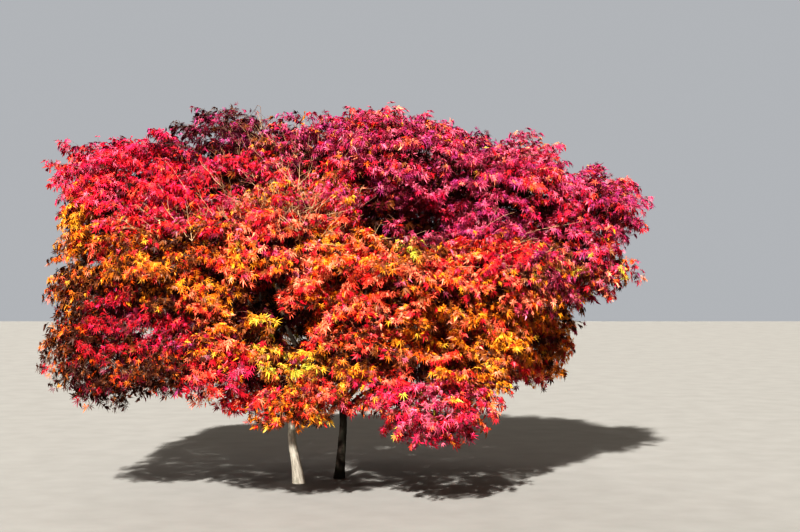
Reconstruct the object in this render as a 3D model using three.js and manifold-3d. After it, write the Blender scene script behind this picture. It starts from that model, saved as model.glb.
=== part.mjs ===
// Japanese maple in autumn leaf: two slender stems from one root, spreading boughs and a
// wide, low crown of layered foliage masses.
// Millimetres, +Z up. The origin is the centre of the flat cut under the pale main stem,
// at ground level. Seen from the front, +X is to the right and +Y is away.
import * as THREE from "three";
import { mergeVertices } from "three/addons/utils/BufferGeometryUtils.js";
import Module from "manifold-3d";

const wasm = await Module();
wasm.setup();

// Driving dimensions
const HEIGHT = 3290; // ground to the highest tip
const HALF_SPREAD = 2465; // crown axis to the furthest tips, left and right
const HALF_DEPTH = 2150; // crown axis to the furthest tips, front and back
const CROWN_X = 435; // the crown's axis, from the main stem's foot
const CROWN_Y = 180;
const GAP = 0.4; // clearance between neighbouring solids

// Limbs: sides and rings of each faceted tube
const STEM_SIDES = 12;
const BOUGH_SIDES = 5;
const RING_STEP = 260; // length of limb for each ring
const FLARE_HEIGHT = 70; // the root flare fades out over about this height
const FLARE_RIBS = 5;
const ENTRY = 70; // how far a bough's end reaches into its mass

// Foliage masses
const BLOB_DETAIL = 2; // subdivisions of the icosahedron that a mass is shaped from
const LUMPS = 7; // soft swellings on each mass
const LUMP_HEIGHT = 0.13; // as a share of the mass's size
const LUMP_SHARPNESS = 5;
const UNDERSIDE = 0.72; // the lower half of a mass is flatter than the upper half

const BARK_PALE = { color: 0xa39c8a, roughness: 0.9, metalness: 0 };
const BARK_DARK = { color: 0x4a4038, roughness: 0.92, metalness: 0 };
const BARK_BOUGH = { color: 0x6f6659, roughness: 0.9, metalness: 0 };
const LEAF_TINTS = {
  magenta: 0xa82a50,
  crimson: 0xc41f38,
  coral: 0xe2533f,
  orange: 0xe07420,
  gold: 0xd9a52a,
};

const material = (look) => new THREE.MeshStandardMaterial(look);
const vec = (x, y, z) => new THREE.Vector3(x, y, z);

// A seeded random number from 0 to 1, the same on every run.
function seeded(seed) {
  let state = seed >>> 0;
  return () => {
    state = (state + 0x6d2b79f5) >>> 0;
    let t = Math.imul(state ^ (state >>> 15), 1 | state);
    t = (t + Math.imul(t ^ (t >>> 7), 61 | t)) ^ t;
    return ((t ^ (t >>> 14)) >>> 0) / 2 ** 32;
  };
}

function solidFrom(geometry) {
  const bare = geometry.clone();
  bare.deleteAttribute("normal");
  bare.deleteAttribute("uv");
  const merged = mergeVertices(bare, 1e-3);
  const triVerts = new Uint32Array(merged.index.array);
  const vertProperties = merged.attributes.position.array;
  return new wasm.Manifold(new wasm.Mesh({ numProp: 3, vertProperties, triVerts }));
}

function geometryFrom(solid) {
  const mesh = solid.getMesh();
  const geometry = new THREE.BufferGeometry();
  geometry.setAttribute("position", new THREE.BufferAttribute(mesh.vertProperties, 3));
  geometry.setIndex(new THREE.BufferAttribute(mesh.triVerts, 1));
  geometry.computeVertexNormals();
  return geometry;
}

const largestBody = (solid) =>
  solid.decompose().reduce((a, b) => (b.volume() > a.volume() ? b : a));

// Stems

// Each stem is a list of places on its centreline, with the radius there.
const STEMS = [
  {
    name: "stem_pale",
    look: BARK_PALE,
    flare: 0.32,
    line: [
      { at: vec(6, 0, -60), radius: 43 },
      { at: vec(0, 0, 0), radius: 42 },
      { at: vec(-30, 2, 200), radius: 38 },
      { at: vec(-56, 6, 340), radius: 33 },
      { at: vec(-66, 14, 500), radius: 30 },
      { at: vec(-62, 26, 660), radius: 28 },
      { at: vec(-84, 34, 800), radius: 25 },
    ],
  },
  {
    name: "stem_dark",
    look: BARK_DARK,
    flare: 0.3,
    line: [
      { at: vec(326, 290, -60), radius: 39 },
      { at: vec(330, 290, 0), radius: 38 },
      { at: vec(346, 290, 200), radius: 35 },
      { at: vec(362, 288, 400), radius: 32 },
      { at: vec(366, 280, 560), radius: 30 },
      { at: vec(352, 268, 700), radius: 28 },
    ],
  },
];

// Masses

// x, y and z are the centre, as shares of the half spread, half depth and height from the
// crown's axis; wide, deep and high are the half sizes, as shares of the same three.
const MASSES = [
  { name: "top_middle", tint: "magenta", x: 0.14, y: -0.04, z: 0.814, wide: 0.3, deep: 0.42, high: 0.145 },
  { name: "top_right", tint: "magenta", x: 0.49, y: -0.03, z: 0.761, wide: 0.28, deep: 0.41, high: 0.137 },
  { name: "top_left", tint: "magenta", x: -0.2, y: 0, z: 0.8, wide: 0.27, deep: 0.4, high: 0.133 },
  { name: "top_tip_left", tint: "crimson", x: -0.43, y: 0.06, z: 0.915, wide: 0.13, deep: 0.24, high: 0.085 },
  { name: "top_far_left", tint: "crimson", x: -0.54, y: -0.04, z: 0.761, wide: 0.26, deep: 0.36, high: 0.143 },
  { name: "shoulder_left", tint: "crimson", x: -0.81, y: -0.08, z: 0.717, wide: 0.2, deep: 0.34, high: 0.159 },
  { name: "shoulder_right", tint: "crimson", x: 0.79, y: -0.04, z: 0.692, wide: 0.22, deep: 0.33, high: 0.101 },
  { name: "side_left", tint: "orange", x: -0.86, y: -0.13, z: 0.5, wide: 0.15, deep: 0.32, high: 0.155 },
  { name: "front_left", tint: "coral", x: -0.53, y: -0.5, z: 0.565, wide: 0.27, deep: 0.28, high: 0.162 },
  { name: "front_middle", tint: "coral", x: -0.17, y: -0.6, z: 0.577, wide: 0.25, deep: 0.28, high: 0.155 },
  { name: "front_right", tint: "orange", x: 0.18, y: -0.6, z: 0.512, wide: 0.25, deep: 0.28, high: 0.121 },
  { name: "side_right_front", tint: "coral", x: 0.47, y: -0.42, z: 0.507, wide: 0.21, deep: 0.28, high: 0.13 },
  { name: "side_right", tint: "crimson", x: 0.76, y: -0.08, z: 0.537, wide: 0.18, deep: 0.28, high: 0.075 },
  { name: "skirt_left", tint: "crimson", x: -0.7, y: -0.45, z: 0.34, wide: 0.25, deep: 0.24, high: 0.126 },
  { name: "skirt_front_left", tint: "crimson", x: -0.37, y: -0.69, z: 0.334, wide: 0.18, deep: 0.22, high: 0.121 },
  { name: "skirt_front", tint: "gold", x: -0.17, y: -0.64, z: 0.285, wide: 0.165, deep: 0.21, high: 0.106 },
  { name: "skirt_middle", tint: "orange", x: 0.03, y: -0.6, z: 0.343, wide: 0.17, deep: 0.22, high: 0.111 },
  { name: "skirt_front_right", tint: "crimson", x: 0.271, y: -0.69, z: 0.232, wide: 0.2, deep: 0.2, high: 0.095 },
  { name: "skirt_right", tint: "coral", x: 0.44, y: -0.42, z: 0.36, wide: 0.16, deep: 0.26, high: 0.082 },
  { name: "skirt_side_right", tint: "coral", x: 0.6, y: 0.14, z: 0.335, wide: 0.19, deep: 0.33, high: 0.09 },
  { name: "back_top_left", tint: "crimson", x: -0.42, y: 0.47, z: 0.706, wide: 0.3, deep: 0.29, high: 0.135 },
  { name: "back_top", tint: "magenta", x: 0.06, y: 0.5, z: 0.744, wide: 0.3, deep: 0.3, high: 0.137 },
  { name: "back_top_right", tint: "crimson", x: 0.5, y: 0.43, z: 0.667, wide: 0.3, deep: 0.28, high: 0.126 },
  { name: "back_left", tint: "orange", x: -0.67, y: 0.38, z: 0.503, wide: 0.24, deep: 0.28, high: 0.135 },
  { name: "back_middle_left", tint: "coral", x: -0.27, y: 0.7, z: 0.493, wide: 0.26, deep: 0.25, high: 0.126 },
  { name: "back_middle_right", tint: "orange", x: 0.18, y: 0.73, z: 0.483, wide: 0.26, deep: 0.25, high: 0.126 },
  { name: "back_right", tint: "coral", x: 0.6, y: 0.48, z: 0.454, wide: 0.24, deep: 0.27, high: 0.116 },
  { name: "back_skirt_left", tint: "crimson", x: -0.5, y: 0.55, z: 0.319, wide: 0.21, deep: 0.21, high: 0.092 },
  { name: "back_skirt", tint: "gold", x: -0.02, y: 0.75, z: 0.29, wide: 0.2, deep: 0.19, high: 0.092 },
  { name: "back_skirt_right", tint: "crimson", x: 0.4, y: 0.58, z: 0.28, wide: 0.2, deep: 0.2, high: 0.087 },
].map((m, index) => ({
  ...m,
  seed: index + 1,
  centre: vec(CROWN_X + m.x * HALF_SPREAD, CROWN_Y + m.y * HALF_DEPTH, m.z * HEIGHT),
  size: vec(m.wide * HALF_SPREAD, m.deep * HALF_DEPTH, m.high * HEIGHT),
}));

const massNamed = (name) => MASSES.find((m) => m.name === name);

// Half sizes towards a direction: the underside is flatter.
const sizeTowards = (m, direction) =>
  vec(m.size.x, m.size.y, m.size.z * (direction.z < 0 ? UNDERSIDE : 1));

// How far an even mass, without its swellings, reaches from its centre in a direction.
function reach(m, direction) {
  const s = sizeTowards(m, direction);
  return 1 / Math.hypot(direction.x / s.x, direction.y / s.y, direction.z / s.z);
}

function isInside(m, point, share) {
  const offset = point.clone().sub(m.centre);
  return offset.length() < share * reach(m, offset.clone().normalize());
}

function uneven(m) {
  const random = seeded(m.seed * 7919);
  const lumps = Array.from({ length: LUMPS }, () =>
    vec(random() * 2 - 1, random() * 2 - 1, random() * 1.4 - 0.4).normalize(),
  );
  const shape = new THREE.IcosahedronGeometry(1, BLOB_DETAIL);
  const places = shape.attributes.position;
  for (let i = 0; i < places.count; i++) {
    const d = vec().fromBufferAttribute(places, i).normalize();
    const swell = lumps.reduce(
      (sum, lump) => sum + Math.exp((d.dot(lump) - 1) * LUMP_SHARPNESS),
      0,
    );
    const radius = 1 - LUMP_HEIGHT + LUMP_HEIGHT * Math.min(swell, 1.4);
    const place = d.clone().multiply(sizeTowards(m, d)).multiplyScalar(radius).add(m.centre);
    places.setXYZ(i, place.x, place.y, place.z);
  }
  return solidFrom(shape);
}

// The plane where two neighbouring masses meet, halfway through their overlap.
function parting(a, b) {
  const line = b.centre.clone().sub(a.centre);
  const distance = line.length();
  const direction = line.divideScalar(distance);
  const back = direction.clone().negate();
  const along = (reach(a, direction) + distance - reach(b, back)) / 2;
  const sa = sizeTowards(a, direction);
  const sb = sizeTowards(b, back);
  const na = vec(direction.x / sa.x ** 2, direction.y / sa.y ** 2, direction.z / sa.z ** 2);
  const nb = vec(direction.x / sb.x ** 2, direction.y / sb.y ** 2, direction.z / sb.z ** 2);
  const normal = na.normalize().add(nb.normalize()).normalize();
  const offset = a.centre.clone().addScaledVector(direction, along).dot(normal);
  return { normal, offset };
}

// Boughs

// Each bough leaves its parent limb at a share of the parent's length and arches to its
// mass. rise lifts the first part of the arch, and via names a place that it passes.
const BOUGHS = [
  { name: "bough_centre", from: "stem_dark", share: 0.97, to: "top_left", radius: 21,
    via: [vec(250, 200, 840), vec(90, 60, 1010), vec(-60, -10, 1240), vec(-150, -30, 1500), vec(-190, -20, 1760)] },
  { name: "bough_left", from: "stem_pale", share: 0.97, to: "side_left", radius: 22, rise: 260 },
  { name: "bough_right", from: "stem_dark", share: 0.93, to: "side_right", radius: 23, rise: 330 },
  { name: "bough_top", from: "stem_dark", share: 0.99, to: "top_middle", radius: 21, rise: 420 },
  { name: "bough_back", from: "stem_dark", share: 0.9, to: "back_middle_right", radius: 19, rise: 380 },
  { name: "bough_front", from: "stem_pale", share: 0.9, to: "skirt_front", radius: 13, rise: 120 },
  { name: "bough_upper_left", from: "bough_left", share: 0.22, to: "top_far_left", radius: 16, rise: 380 },
  { name: "bough_shoulder_left", from: "bough_left", share: 0.5, to: "shoulder_left", radius: 12, rise: 240 },
  { name: "bough_front_left", from: "bough_left", share: 0.3, to: "front_left", radius: 13, rise: 220 },
  { name: "bough_skirt_left", from: "bough_left", share: 0.42, to: "skirt_left", radius: 11, rise: 30 },
  { name: "bough_back_left", from: "stem_pale", share: 0.93, to: "back_left", radius: 16, rise: 300 },
  { name: "bough_front_middle", from: "bough_centre", share: 0.52, to: "front_middle", radius: 12, rise: 60 },
  { name: "bough_cross", from: "bough_centre", share: 0.6, to: "front_right", radius: 12,
    via: [vec(90, -60, 1490), vec(360, -160, 1560)] },
  { name: "bough_upper_right", from: "bough_right", share: 0.24, to: "top_right", radius: 16, rise: 420 },
  { name: "bough_shoulder_right", from: "bough_right", share: 0.5, to: "shoulder_right", radius: 13, rise: 260 },
  { name: "bough_front_right", from: "bough_right", share: 0.3, to: "side_right_front", radius: 13, rise: 160 },
  { name: "bough_skirt_right", from: "stem_dark", share: 0.86, to: "skirt_front_right", radius: 12, rise: 170 },
  { name: "bough_back_right", from: "bough_right", share: 0.2, to: "back_right", radius: 14, rise: 200 },
  { name: "bough_back_top", from: "bough_back", share: 0.35, to: "back_top", radius: 14, rise: 420 },
  { name: "bough_back_middle", from: "bough_back", share: 0.45, to: "back_middle_left", radius: 12, rise: 180 },
  { name: "bough_skirt_front_left", from: "bough_left", share: 0.16, to: "skirt_front_left", radius: 11, rise: 60 },
  { name: "bough_skirt_middle", from: "bough_centre", share: 0.14, to: "skirt_middle", radius: 10, rise: 60 },
  { name: "bough_low_right", from: "bough_right", share: 0.16, to: "skirt_right", radius: 11, rise: 40 },
  { name: "bough_back_top_left", from: "bough_back_left", share: 0.35, to: "back_top_left", radius: 12, rise: 300 },
  { name: "bough_back_top_right", from: "bough_back_right", share: 0.3, to: "back_top_right", radius: 12, rise: 280 },
  { name: "bough_back_low_left", from: "bough_back_left", share: 0.3, to: "back_skirt_left", radius: 11, rise: 30 },
  { name: "bough_back_low", from: "bough_back", share: 0.22, to: "back_skirt", radius: 11, rise: 30 },
  { name: "bough_back_low_right", from: "bough_back_right", share: 0.34, to: "back_skirt_right", radius: 11, rise: 10 },
];
const TIP_SHARE = 0.55; // a bough's end radius, as a share of its start
const LEVELLING = 0.3; // how much of the rise is left where the arch levels out
const LINE_STEPS = 60;

// A limb's shape: a closed cylinder bent along its centreline, with its radius at each
// ring, and ribs that spread at the foot of a stem. extra makes it larger all round.
function bent(limb, extra) {
  const length = limb.curve.getLength();
  const rings = Math.max(4, Math.round(length / RING_STEP));
  const shape = new THREE.CylinderGeometry(1, 1, 1, limb.sides, rings);
  const frames = limb.curve.computeFrenetFrames(rings);
  const places = shape.attributes.position;
  for (let i = 0; i < places.count; i++) {
    const t = places.getY(i) + 0.5;
    const ring = Math.round(t * rings);
    const angle = Math.atan2(places.getZ(i), places.getX(i));
    const centre = limb.curve.getPointAt(t);
    const radius = limb.radiusAt(t, angle, centre.z) + extra;
    const end = ring === 0 ? -extra : ring === rings ? extra : 0;
    const place = centre
      .addScaledVector(frames.tangents[ring], end)
      .addScaledVector(frames.normals[ring], places.getX(i) * radius)
      .addScaledVector(frames.binormals[ring], -places.getZ(i) * radius);
    places.setXYZ(i, place.x, place.y, place.z);
  }
  return solidFrom(shape);
}

const limbs = new Map();

for (const stem of STEMS) {
  const places = stem.line.map((p) => p.at);
  const last = stem.line.length - 1;
  const radiusAt = (t, angle, height) => {
    const along = t * last;
    const i = Math.min(Math.floor(along), last - 1);
    const even = THREE.MathUtils.lerp(stem.line[i].radius, stem.line[i + 1].radius, along - i);
    const flare = stem.flare * Math.exp(-Math.max(height, 0) / FLARE_HEIGHT);
    return even * (1 + flare * (1 + 0.35 * Math.cos(FLARE_RIBS * angle)));
  };
  const curve = new THREE.CatmullRomCurve3(places);
  limbs.set(stem.name, { ...stem, curve, radiusAt, sides: STEM_SIDES });
}

for (const bough of BOUGHS) {
  const parent = limbs.get(bough.from);
  const mass = massNamed(bough.to);
  const start = parent.curve.getPointAt(bough.share);
  const middle = (share, lift) =>
    start.clone().lerp(mass.centre, share).add(vec(0, 0, bough.rise * lift));
  const passing = bough.via ?? [middle(0.25, 0.8), middle(0.5, 1), middle(0.75, LEVELLING)];
  const whole = new THREE.CatmullRomCurve3([start, ...passing, mass.centre]);
  const line = whole.getSpacedPoints(LINE_STEPS);
  const entry = line.findIndex((p) => isInside(mass, p, 0.9));
  const beyond = Math.round((ENTRY / whole.getLength()) * LINE_STEPS);
  const curve = new THREE.CatmullRomCurve3(line.slice(0, entry + beyond + 1));
  const radiusAt = (t) => bough.radius * THREE.MathUtils.lerp(1, TIP_SHARE, t);
  limbs.set(bough.name, { ...bough, look: BARK_BOUGH, curve, radiusAt, sides: BOUGH_SIDES });
}

// The tree

const tree = new THREE.Group();
function add(name, solid, look) {
  const mesh = new THREE.Mesh(geometryFrom(solid), material(look));
  mesh.name = name;
  tree.add(mesh);
}

// A limb keeps clear of the limbs made before it, and a stem is cut flat at the ground.
const grown = [];
for (const [name, limb] of limbs) {
  let solid = bent(limb, 0).trimByPlane([0, 0, 1], 0);
  for (const earlier of grown) {
    if (solid.intersect(earlier).volume() > 0) solid = solid.subtract(earlier);
  }
  add(name, largestBody(solid), limb.look);
  grown.push(bent(limb, GAP).trimByPlane([0, 0, 1], -GAP));
}

// Neighbouring masses part at a plane, and each is cut round the limbs that reach it.
const even = MASSES.map(uneven);
MASSES.forEach((mass, i) => {
  let solid = even[i];
  MASSES.forEach((other, j) => {
    if (i === j || even[i].intersect(even[j]).volume() === 0) return;
    const { normal, offset } = parting(mass, other);
    const away = [-normal.x, -normal.y, -normal.z];
    solid = solid.trimByPlane(away, -offset + GAP / 2);
  });
  for (const limb of grown) {
    if (solid.intersect(limb).volume() > 0) solid = solid.subtract(limb);
  }
  const look = { color: LEAF_TINTS[mass.tint], roughness: 0.7, metalness: 0 };
  add(mass.name, largestBody(solid), look);
});

export default tree;
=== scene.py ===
"""A japanese maple in autumn leaf: bark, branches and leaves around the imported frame."""
import math

import bpy
import numpy as np
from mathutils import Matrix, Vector, noise
from mathutils.bvhtree import BVHTree
from mathutils.kdtree import KDTree


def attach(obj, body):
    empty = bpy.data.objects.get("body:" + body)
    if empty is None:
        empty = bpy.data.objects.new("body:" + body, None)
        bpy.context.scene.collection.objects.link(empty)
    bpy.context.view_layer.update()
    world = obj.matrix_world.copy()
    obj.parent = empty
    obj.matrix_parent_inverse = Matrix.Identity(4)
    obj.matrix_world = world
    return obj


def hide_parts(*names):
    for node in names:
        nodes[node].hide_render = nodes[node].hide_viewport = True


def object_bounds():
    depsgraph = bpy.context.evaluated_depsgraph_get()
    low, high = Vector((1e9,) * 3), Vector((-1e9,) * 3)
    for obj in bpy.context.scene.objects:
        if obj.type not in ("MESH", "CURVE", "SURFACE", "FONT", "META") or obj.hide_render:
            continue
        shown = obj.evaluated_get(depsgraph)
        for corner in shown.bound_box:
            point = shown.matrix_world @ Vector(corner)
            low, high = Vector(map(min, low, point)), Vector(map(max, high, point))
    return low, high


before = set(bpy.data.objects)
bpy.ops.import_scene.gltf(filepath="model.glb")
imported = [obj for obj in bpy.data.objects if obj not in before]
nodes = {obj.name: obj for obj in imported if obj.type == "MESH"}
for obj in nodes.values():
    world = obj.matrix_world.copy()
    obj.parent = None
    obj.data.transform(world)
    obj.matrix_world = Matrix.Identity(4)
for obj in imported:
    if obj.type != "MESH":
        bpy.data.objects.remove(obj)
cad_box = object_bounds()
random = np.random.default_rng(20)

UP = np.array([0.0, 0.0, 1.0])
LIMB_NAMES = ("stem", "bough")  # how the names of the frame's wood begin, the rest are masses
CROWN_AXIS = np.array([0.43, 0.2])

# Camera: the photograph's place and lens
CAMERA_PLACE = (0.858, -13.2, 1.98)
CAMERA_PITCH = -0.589
CAMERA_LENS = 70.02
CAMERA_SENSOR = 36.0

# Light and surroundings. A sun is its name, heading, spread in degrees, strength and colour.
SUNS = (
    ("key", (0.2, 1.0, -0.68), 1.5, 8.0, (1.0, 0.965, 0.91)),
    ("soft", (-0.3, 1.0, -0.25), 50.0, 0.25, (1.0, 0.93, 0.84)),
    ("back", (0.3, -1.0, -0.55), 60.0, 0.9, (1.0, 0.95, 0.90)),
)
FOOT_LIGHT_PLACE = (-0.9, -3.4, 0.12)
FOOT_LIGHT_AIM = (-0.06, 0.0, 0.12)
FOOT_LIGHT_WIDTH = 7.0  # degrees
FOOT_LIGHT_POWER = 400
SKY_COLOUR = (1.0, 0.86, 0.68, 1.0)
SKY_STRENGTH = 0.13
FLOOR_SIZE = 60
FLOOR_PATTERN = (3, 3)
FLOOR_TONES = [(0.3, (0.285, 0.282, 0.272)), (0.7, (0.31, 0.307, 0.297))]
BACKDROP_RADIUS = 46
BACKDROP_GREY = (0.36, 0.37, 0.385, 1.0)

# Limbs
RING_REACH = 0.045  # corners this near each other belong to one ring of a limb
ROOT_SWELL = 1.15  # how much thicker wood is where it leaves its parent
LINE_STEP = 0.015
BARK_VOXEL = 0.0042
BARK_ADDED = 0.35  # the share of a voxel put on each radius before the tubes are fused
BARK_SMOOTHING = 6
BARK_RIDGE = 0.0011
RIDGE_FINENESS = np.array([90, 90, 9])  # across, over and along the limb
BARK_KNOB = 0.0016
KNOB_FINENESS = np.array([25, 25, 22])
KNOB_SHIFT = np.array([7, 0, 0])  # sets the knobs' pattern apart from the ridges'
LIMB_SHIFT = 3.7  # sets each limb's pattern apart from the last one's
BOUGH_KNOB = 0.16  # of the bough's radius
BOUGH_KNOB_FINENESS = 14
BOUGH_SIDES = 9
ROOT_DEPTH = 0.04  # how far a stem is drawn on below the ground before the flat cut

# Bark and twigs. A pattern is how fine it is, how detailed, and how it is drawn out.
UPPER_BARK = (0.72, 1.0)  # heights between which the stems' bark turns into the upper limbs' tone; on the dark stem this is painted sunlight over painted shade
STREAKS = (60, 5, (1, 1, 0.12))
CRACKS = (230, 3, (1, 1, 0.1))
PATCHES = (14, 4, (1, 1, 0.6))
SPECKS = (320, 2, (1, 1, 1))
SPECKLED = (0.55, 0.55, 0.55)  # the share of pale bark in a speck
LICHENED = (0.8, 0.8, 0.8)  # the share of lichen in a patch
UNCHANGED = (0, 0, 0)  # and of either beside them
BARK_ROUGHNESS = (0.65, 0.95)
BARK_GLOSS = 0.3
TWIG_MOTTLE = (45, 4)
TWIG_GRAIN = (400, 2)
TWIG_ROUGHNESS = 0.6
STREAK_RELIEF = (0.5, 0.002)  # the strength and depth of the relief drawn by a pattern
CRACK_RELIEF = (0.45, 0.0008)
TWIG_RELIEF = (0.4, 0.001)

# The crown's skin: the masses fused, with the valleys between them filled
SKIN_VOXEL = 0.06
SKIN_SMOOTHING = 4
VALLEY_FILL = 0.17

# Layers: the sprays lie in sloping layers with gaps between them
LAYER_HEIGHT = 0.33
LAYER_SLOPE = 0.42
LAYER_FILLED = 0.40  # the part of each layer's height that holds sprays
BETWEEN_LAYERS = 0.11  # the share of sprays left between two layers
LAYER_WAVER = 0.2
LAYER_NOISE = (0.9, 2.6, 0.45)  # how fine it is, how fine its finer part is, and that part's share
RIGHTWARD = (0.62, -0.72)  # at the lower left the layers fall this way and not outwards
RIGHTWARD_START = 0.9
LOW_LEFT_TOP = 1.7
LOW_LEFT_EDGE = 0.5
LOW_LEFT_FADE = (0.5, 0.6, 0.5)  # along x, y and z

# Sprays: where they stand in the crown and which way they point
SPRAY_TRIES = 60000
SPRAY_SPACING = 0.156
SPRAY_LIFT = (-0.09, 0.05)  # off the crown's skin
LEADER_SHARE = 0.1  # sprays that stand out beyond the rest
LEADER_REACH = (0.05, 0.13)
LEADER_LOWEST = -0.1  # how far down the skin may face where a leader stands
UPRIGHT_SPACING = 1.45  # how much more a step in height counts than a level one
SPRAY_LENGTH = (0.24, 0.40)
SPRAY_PLACE = 0.8  # how far along a spray its place in the crown is
UNDERSIDE = -0.35  # how far down the skin faces on the crown's underside
UNDERSIDE_SHARE = 0.6
FACING_IN = 0.45
FACING_IN_SHARE = 0.2
BOX_INSET = 0.072
SPRAY_OUTWARD = 0.75
SPRAY_DOWNHILL = 0.6
RISE_FROM = 0.25  # how far up the skin faces where the sprays begin to rise
SPRAY_RISE = 1.15
PITCH_SCATTER = 0.2
TURN_SCATTER = 0.55

# Shaded sprays further in
DEEP_TRIES = 30000
DEEP_SPACING = 0.22
DEEP = (0.16, 1.2)
DEEP_LEAST = 0.8  # of the smaller depth
DEEP_FACING_IN = 0.2
HOLLOW_FLOOR = 0.93  # above this the hollow of the crown holds shaded sprays too

# Branches
PIPE_POWER = 0.46  # how a branch thins with the number of sprays it carries
SPLIT_SHARE = 0.46  # how far on its way to its sprays a branch divides
SPLIT_CLEAR = 0.75  # and at most how far on its way to the nearest one
SPLIT_ROUNDS = 6
TWO_WAY = 5  # below this many sprays a branch divides in two, else in three
STOUT = 9  # a branch with more sprays than this has more sides and bends
BRANCH_TAPER = 0.86
BRANCH_TURNS = 0.9  # how far a branch leaves towards its sprays, and not straight on
BRANCH_KEEPS_ON = 0.3  # how much of its first way is left at its end
BRANCH_BOW = 0.9  # how strongly a curve holds to the directions at its ends
BRANCH_RISE = 0.05  # how far, up or down, chance moves a fork
BRANCH_WAVER = 0.012
BRANCH_SCATTER = 0.12
TWIG_WAVER = 0.02
TWIG_RADIUS = 0.0021

# Leaves
LEAF_LENGTH = 0.051
BELOW_LEAF_LENGTH = 0.056
INNER_LEAF_LENGTH = 0.066
INNER_LEAVES = 24  # on one shaded spray
INNER_SPREAD = 0.09
LEAF_STEP = 0.048
BELOW_SHARE = 0.27  # of a spray's leaves: these hang below the others, in darker tints that are painted shade
BELOW_DEPTH = 0.05
BARE_FOOT = 0.3  # the share of a spray's own line that bears no leaves
SPRAY_ROLL = 0.3  # how unevenly sprays are turned about their own line
SPRAY_BOW = 0.2  # how far a spray's end hangs, in spray lengths
SPRAY_END_FALLS = 0.6  # and how much its end points down
SIDE_SHOOT_BARE_FOOT = 0.35
SIDE_SHOOT_REACH = 0.62  # in spray lengths, less the next value for each pair further out
SIDE_SHOOT_SHORTER = 0.13
SIDE_SHOOT_BOW = 0.25
SIDE_SHOOT_SCATTER = 0.16
SIDE_SHOOT_TAPER = np.array([0.6, 0.3])  # its radius at foot and tip, as shares of its twig's
SIDE_SHOOT_TURN = (0.75, 1.2)  # how far a side shoot turns off, as a share of its way ahead
SIDE_SHOOT_VARIES = (0.8, 1.2)
PETIOLE = 0.026
PETIOLE_VARIES = (0.7, 1.4)
STALK_AHEAD = 0.6  # how much a leaf's stalk goes along its shoot, sideways and up
STALK_SIDEWAYS = 0.8
STALK_UP = 0.2
STALK_SCATTER = 0.3
BELOW_INWARD = 0.6  # the way from a spray to the leaves below it is part inward, part down
BELOW_DOWN = 0.4
BELOW_DEPTHS = (0.3, 1.0)
LEAF_ALONG_STALK = 0.7  # how much a leaf's axis follows its stalk and its spray
LEAF_ALONG_SPRAY = 0.3
LEAF_SCATTER = 0.3
LEAF_DROOP = (0.35, 1.35)  # how much a leaf's axis is drawn down
FACE_LIFT = 0.45  # how much a leaf's face looks the spray's way, out of the crown and up
FACE_OUT = 0.75
FACE_UP = 0.3
FACE_SCATTER = 0.65
SPRAY_SIZES = (0.85, 1.12)  # how the leaves' size varies from spray to spray
LEAF_SIZES = (0.8, 1.18)  # and within one
LEAF_CURL = (0.2, 2.0)
LOBE_VARIES = 0.13
PETIOLE_HALF_WIDTH = 0.0011
LEAF_GLOSS = 0.32
LEAF_SHEEN = (30, 2)
LEAF_ROUGHNESS = (0.36, 0.5)
LEAF_GLOW = 0.14  # the share of light that comes through a leaf
GLOW_WARMTH = (1.25, 1.1, 0.5)
DARK_GLOSS = 0.15  # of the tints for shaded leaves, whose brightest channel is below the next value
DARK_TINT = 0.1


def unit(v):
    """Vectors of length one, along the last axis."""
    v = np.asarray(v, float)
    return v / np.maximum(np.linalg.norm(v, axis=-1, keepdims=True), 1e-9)


def deselect_all():
    for o in bpy.context.selected_objects:
        o.select_set(False)


def joined(objects):
    """The objects as one, which is then the active one."""
    deselect_all()
    for o in objects:
        o.select_set(True)
    bpy.context.view_layer.objects.active = objects[0]
    bpy.ops.object.join()
    return bpy.context.object


def apply_modifier(target, kind, **settings):
    """Shapes the active object with one modifier and applies it."""
    step = target.modifiers.new("step", kind)
    for key, value in settings.items():
        setattr(step, key, value)
    bpy.ops.object.modifier_apply(modifier=step.name)


def vertex_rows(mesh, key):
    """The places or normals of a mesh's vertices, as rows."""
    rows = np.empty(len(mesh.vertices) * 3, np.float32)
    mesh.vertices.foreach_get(key, rows)
    return rows.reshape(-1, 3).astype(float)


def triangle_rows(mesh):
    """The vertex numbers of a mesh's triangles, as rows."""
    mesh.calc_loop_triangles()
    rows = np.empty(len(mesh.loop_triangles) * 3, np.int32)
    mesh.loop_triangles.foreach_get("vertices", rows)
    return rows.reshape(-1, 3)


def keep_straightened(mesh, rows):
    """Stores each vertex's place on its limb laid straight, which the bark's pattern reads."""
    attribute = mesh.attributes.new("straightened", "FLOAT_VECTOR", "POINT")
    attribute.data.foreach_set("vector", rows.astype(np.float32).ravel())


def mesh_object(name, places, faces, material):
    """One object from joined arrays: places is (n, 3) and faces is (m, corners)."""
    mesh = bpy.data.meshes.new(name)
    places = np.asarray(places, np.float32)
    faces = np.asarray(faces, np.int32)
    corners = faces.shape[1]
    mesh.vertices.add(len(places))
    mesh.vertices.foreach_set("co", places.ravel())
    mesh.loops.add(faces.size)
    mesh.loops.foreach_set("vertex_index", faces.ravel())
    mesh.polygons.add(len(faces))
    mesh.polygons.foreach_set("loop_start", np.arange(len(faces), dtype=np.int32) * corners)
    mesh.update(calc_edges=True)
    if material:
        mesh.materials.append(material)
    made = bpy.data.objects.new(name, mesh)
    bpy.context.scene.collection.objects.link(made)
    return made


# Materials


def new_material(name):
    material = bpy.data.materials.new(name)
    material.use_nodes = True
    tree = material.node_tree
    return material, tree, tree.nodes["Principled BSDF"]


def add_node(tree, kind, **settings):
    made = tree.nodes.new(kind)
    for key, value in settings.items():
        if key in made.inputs:
            made.inputs[key].default_value = value
        else:
            setattr(made, key, value)
    return made


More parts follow.
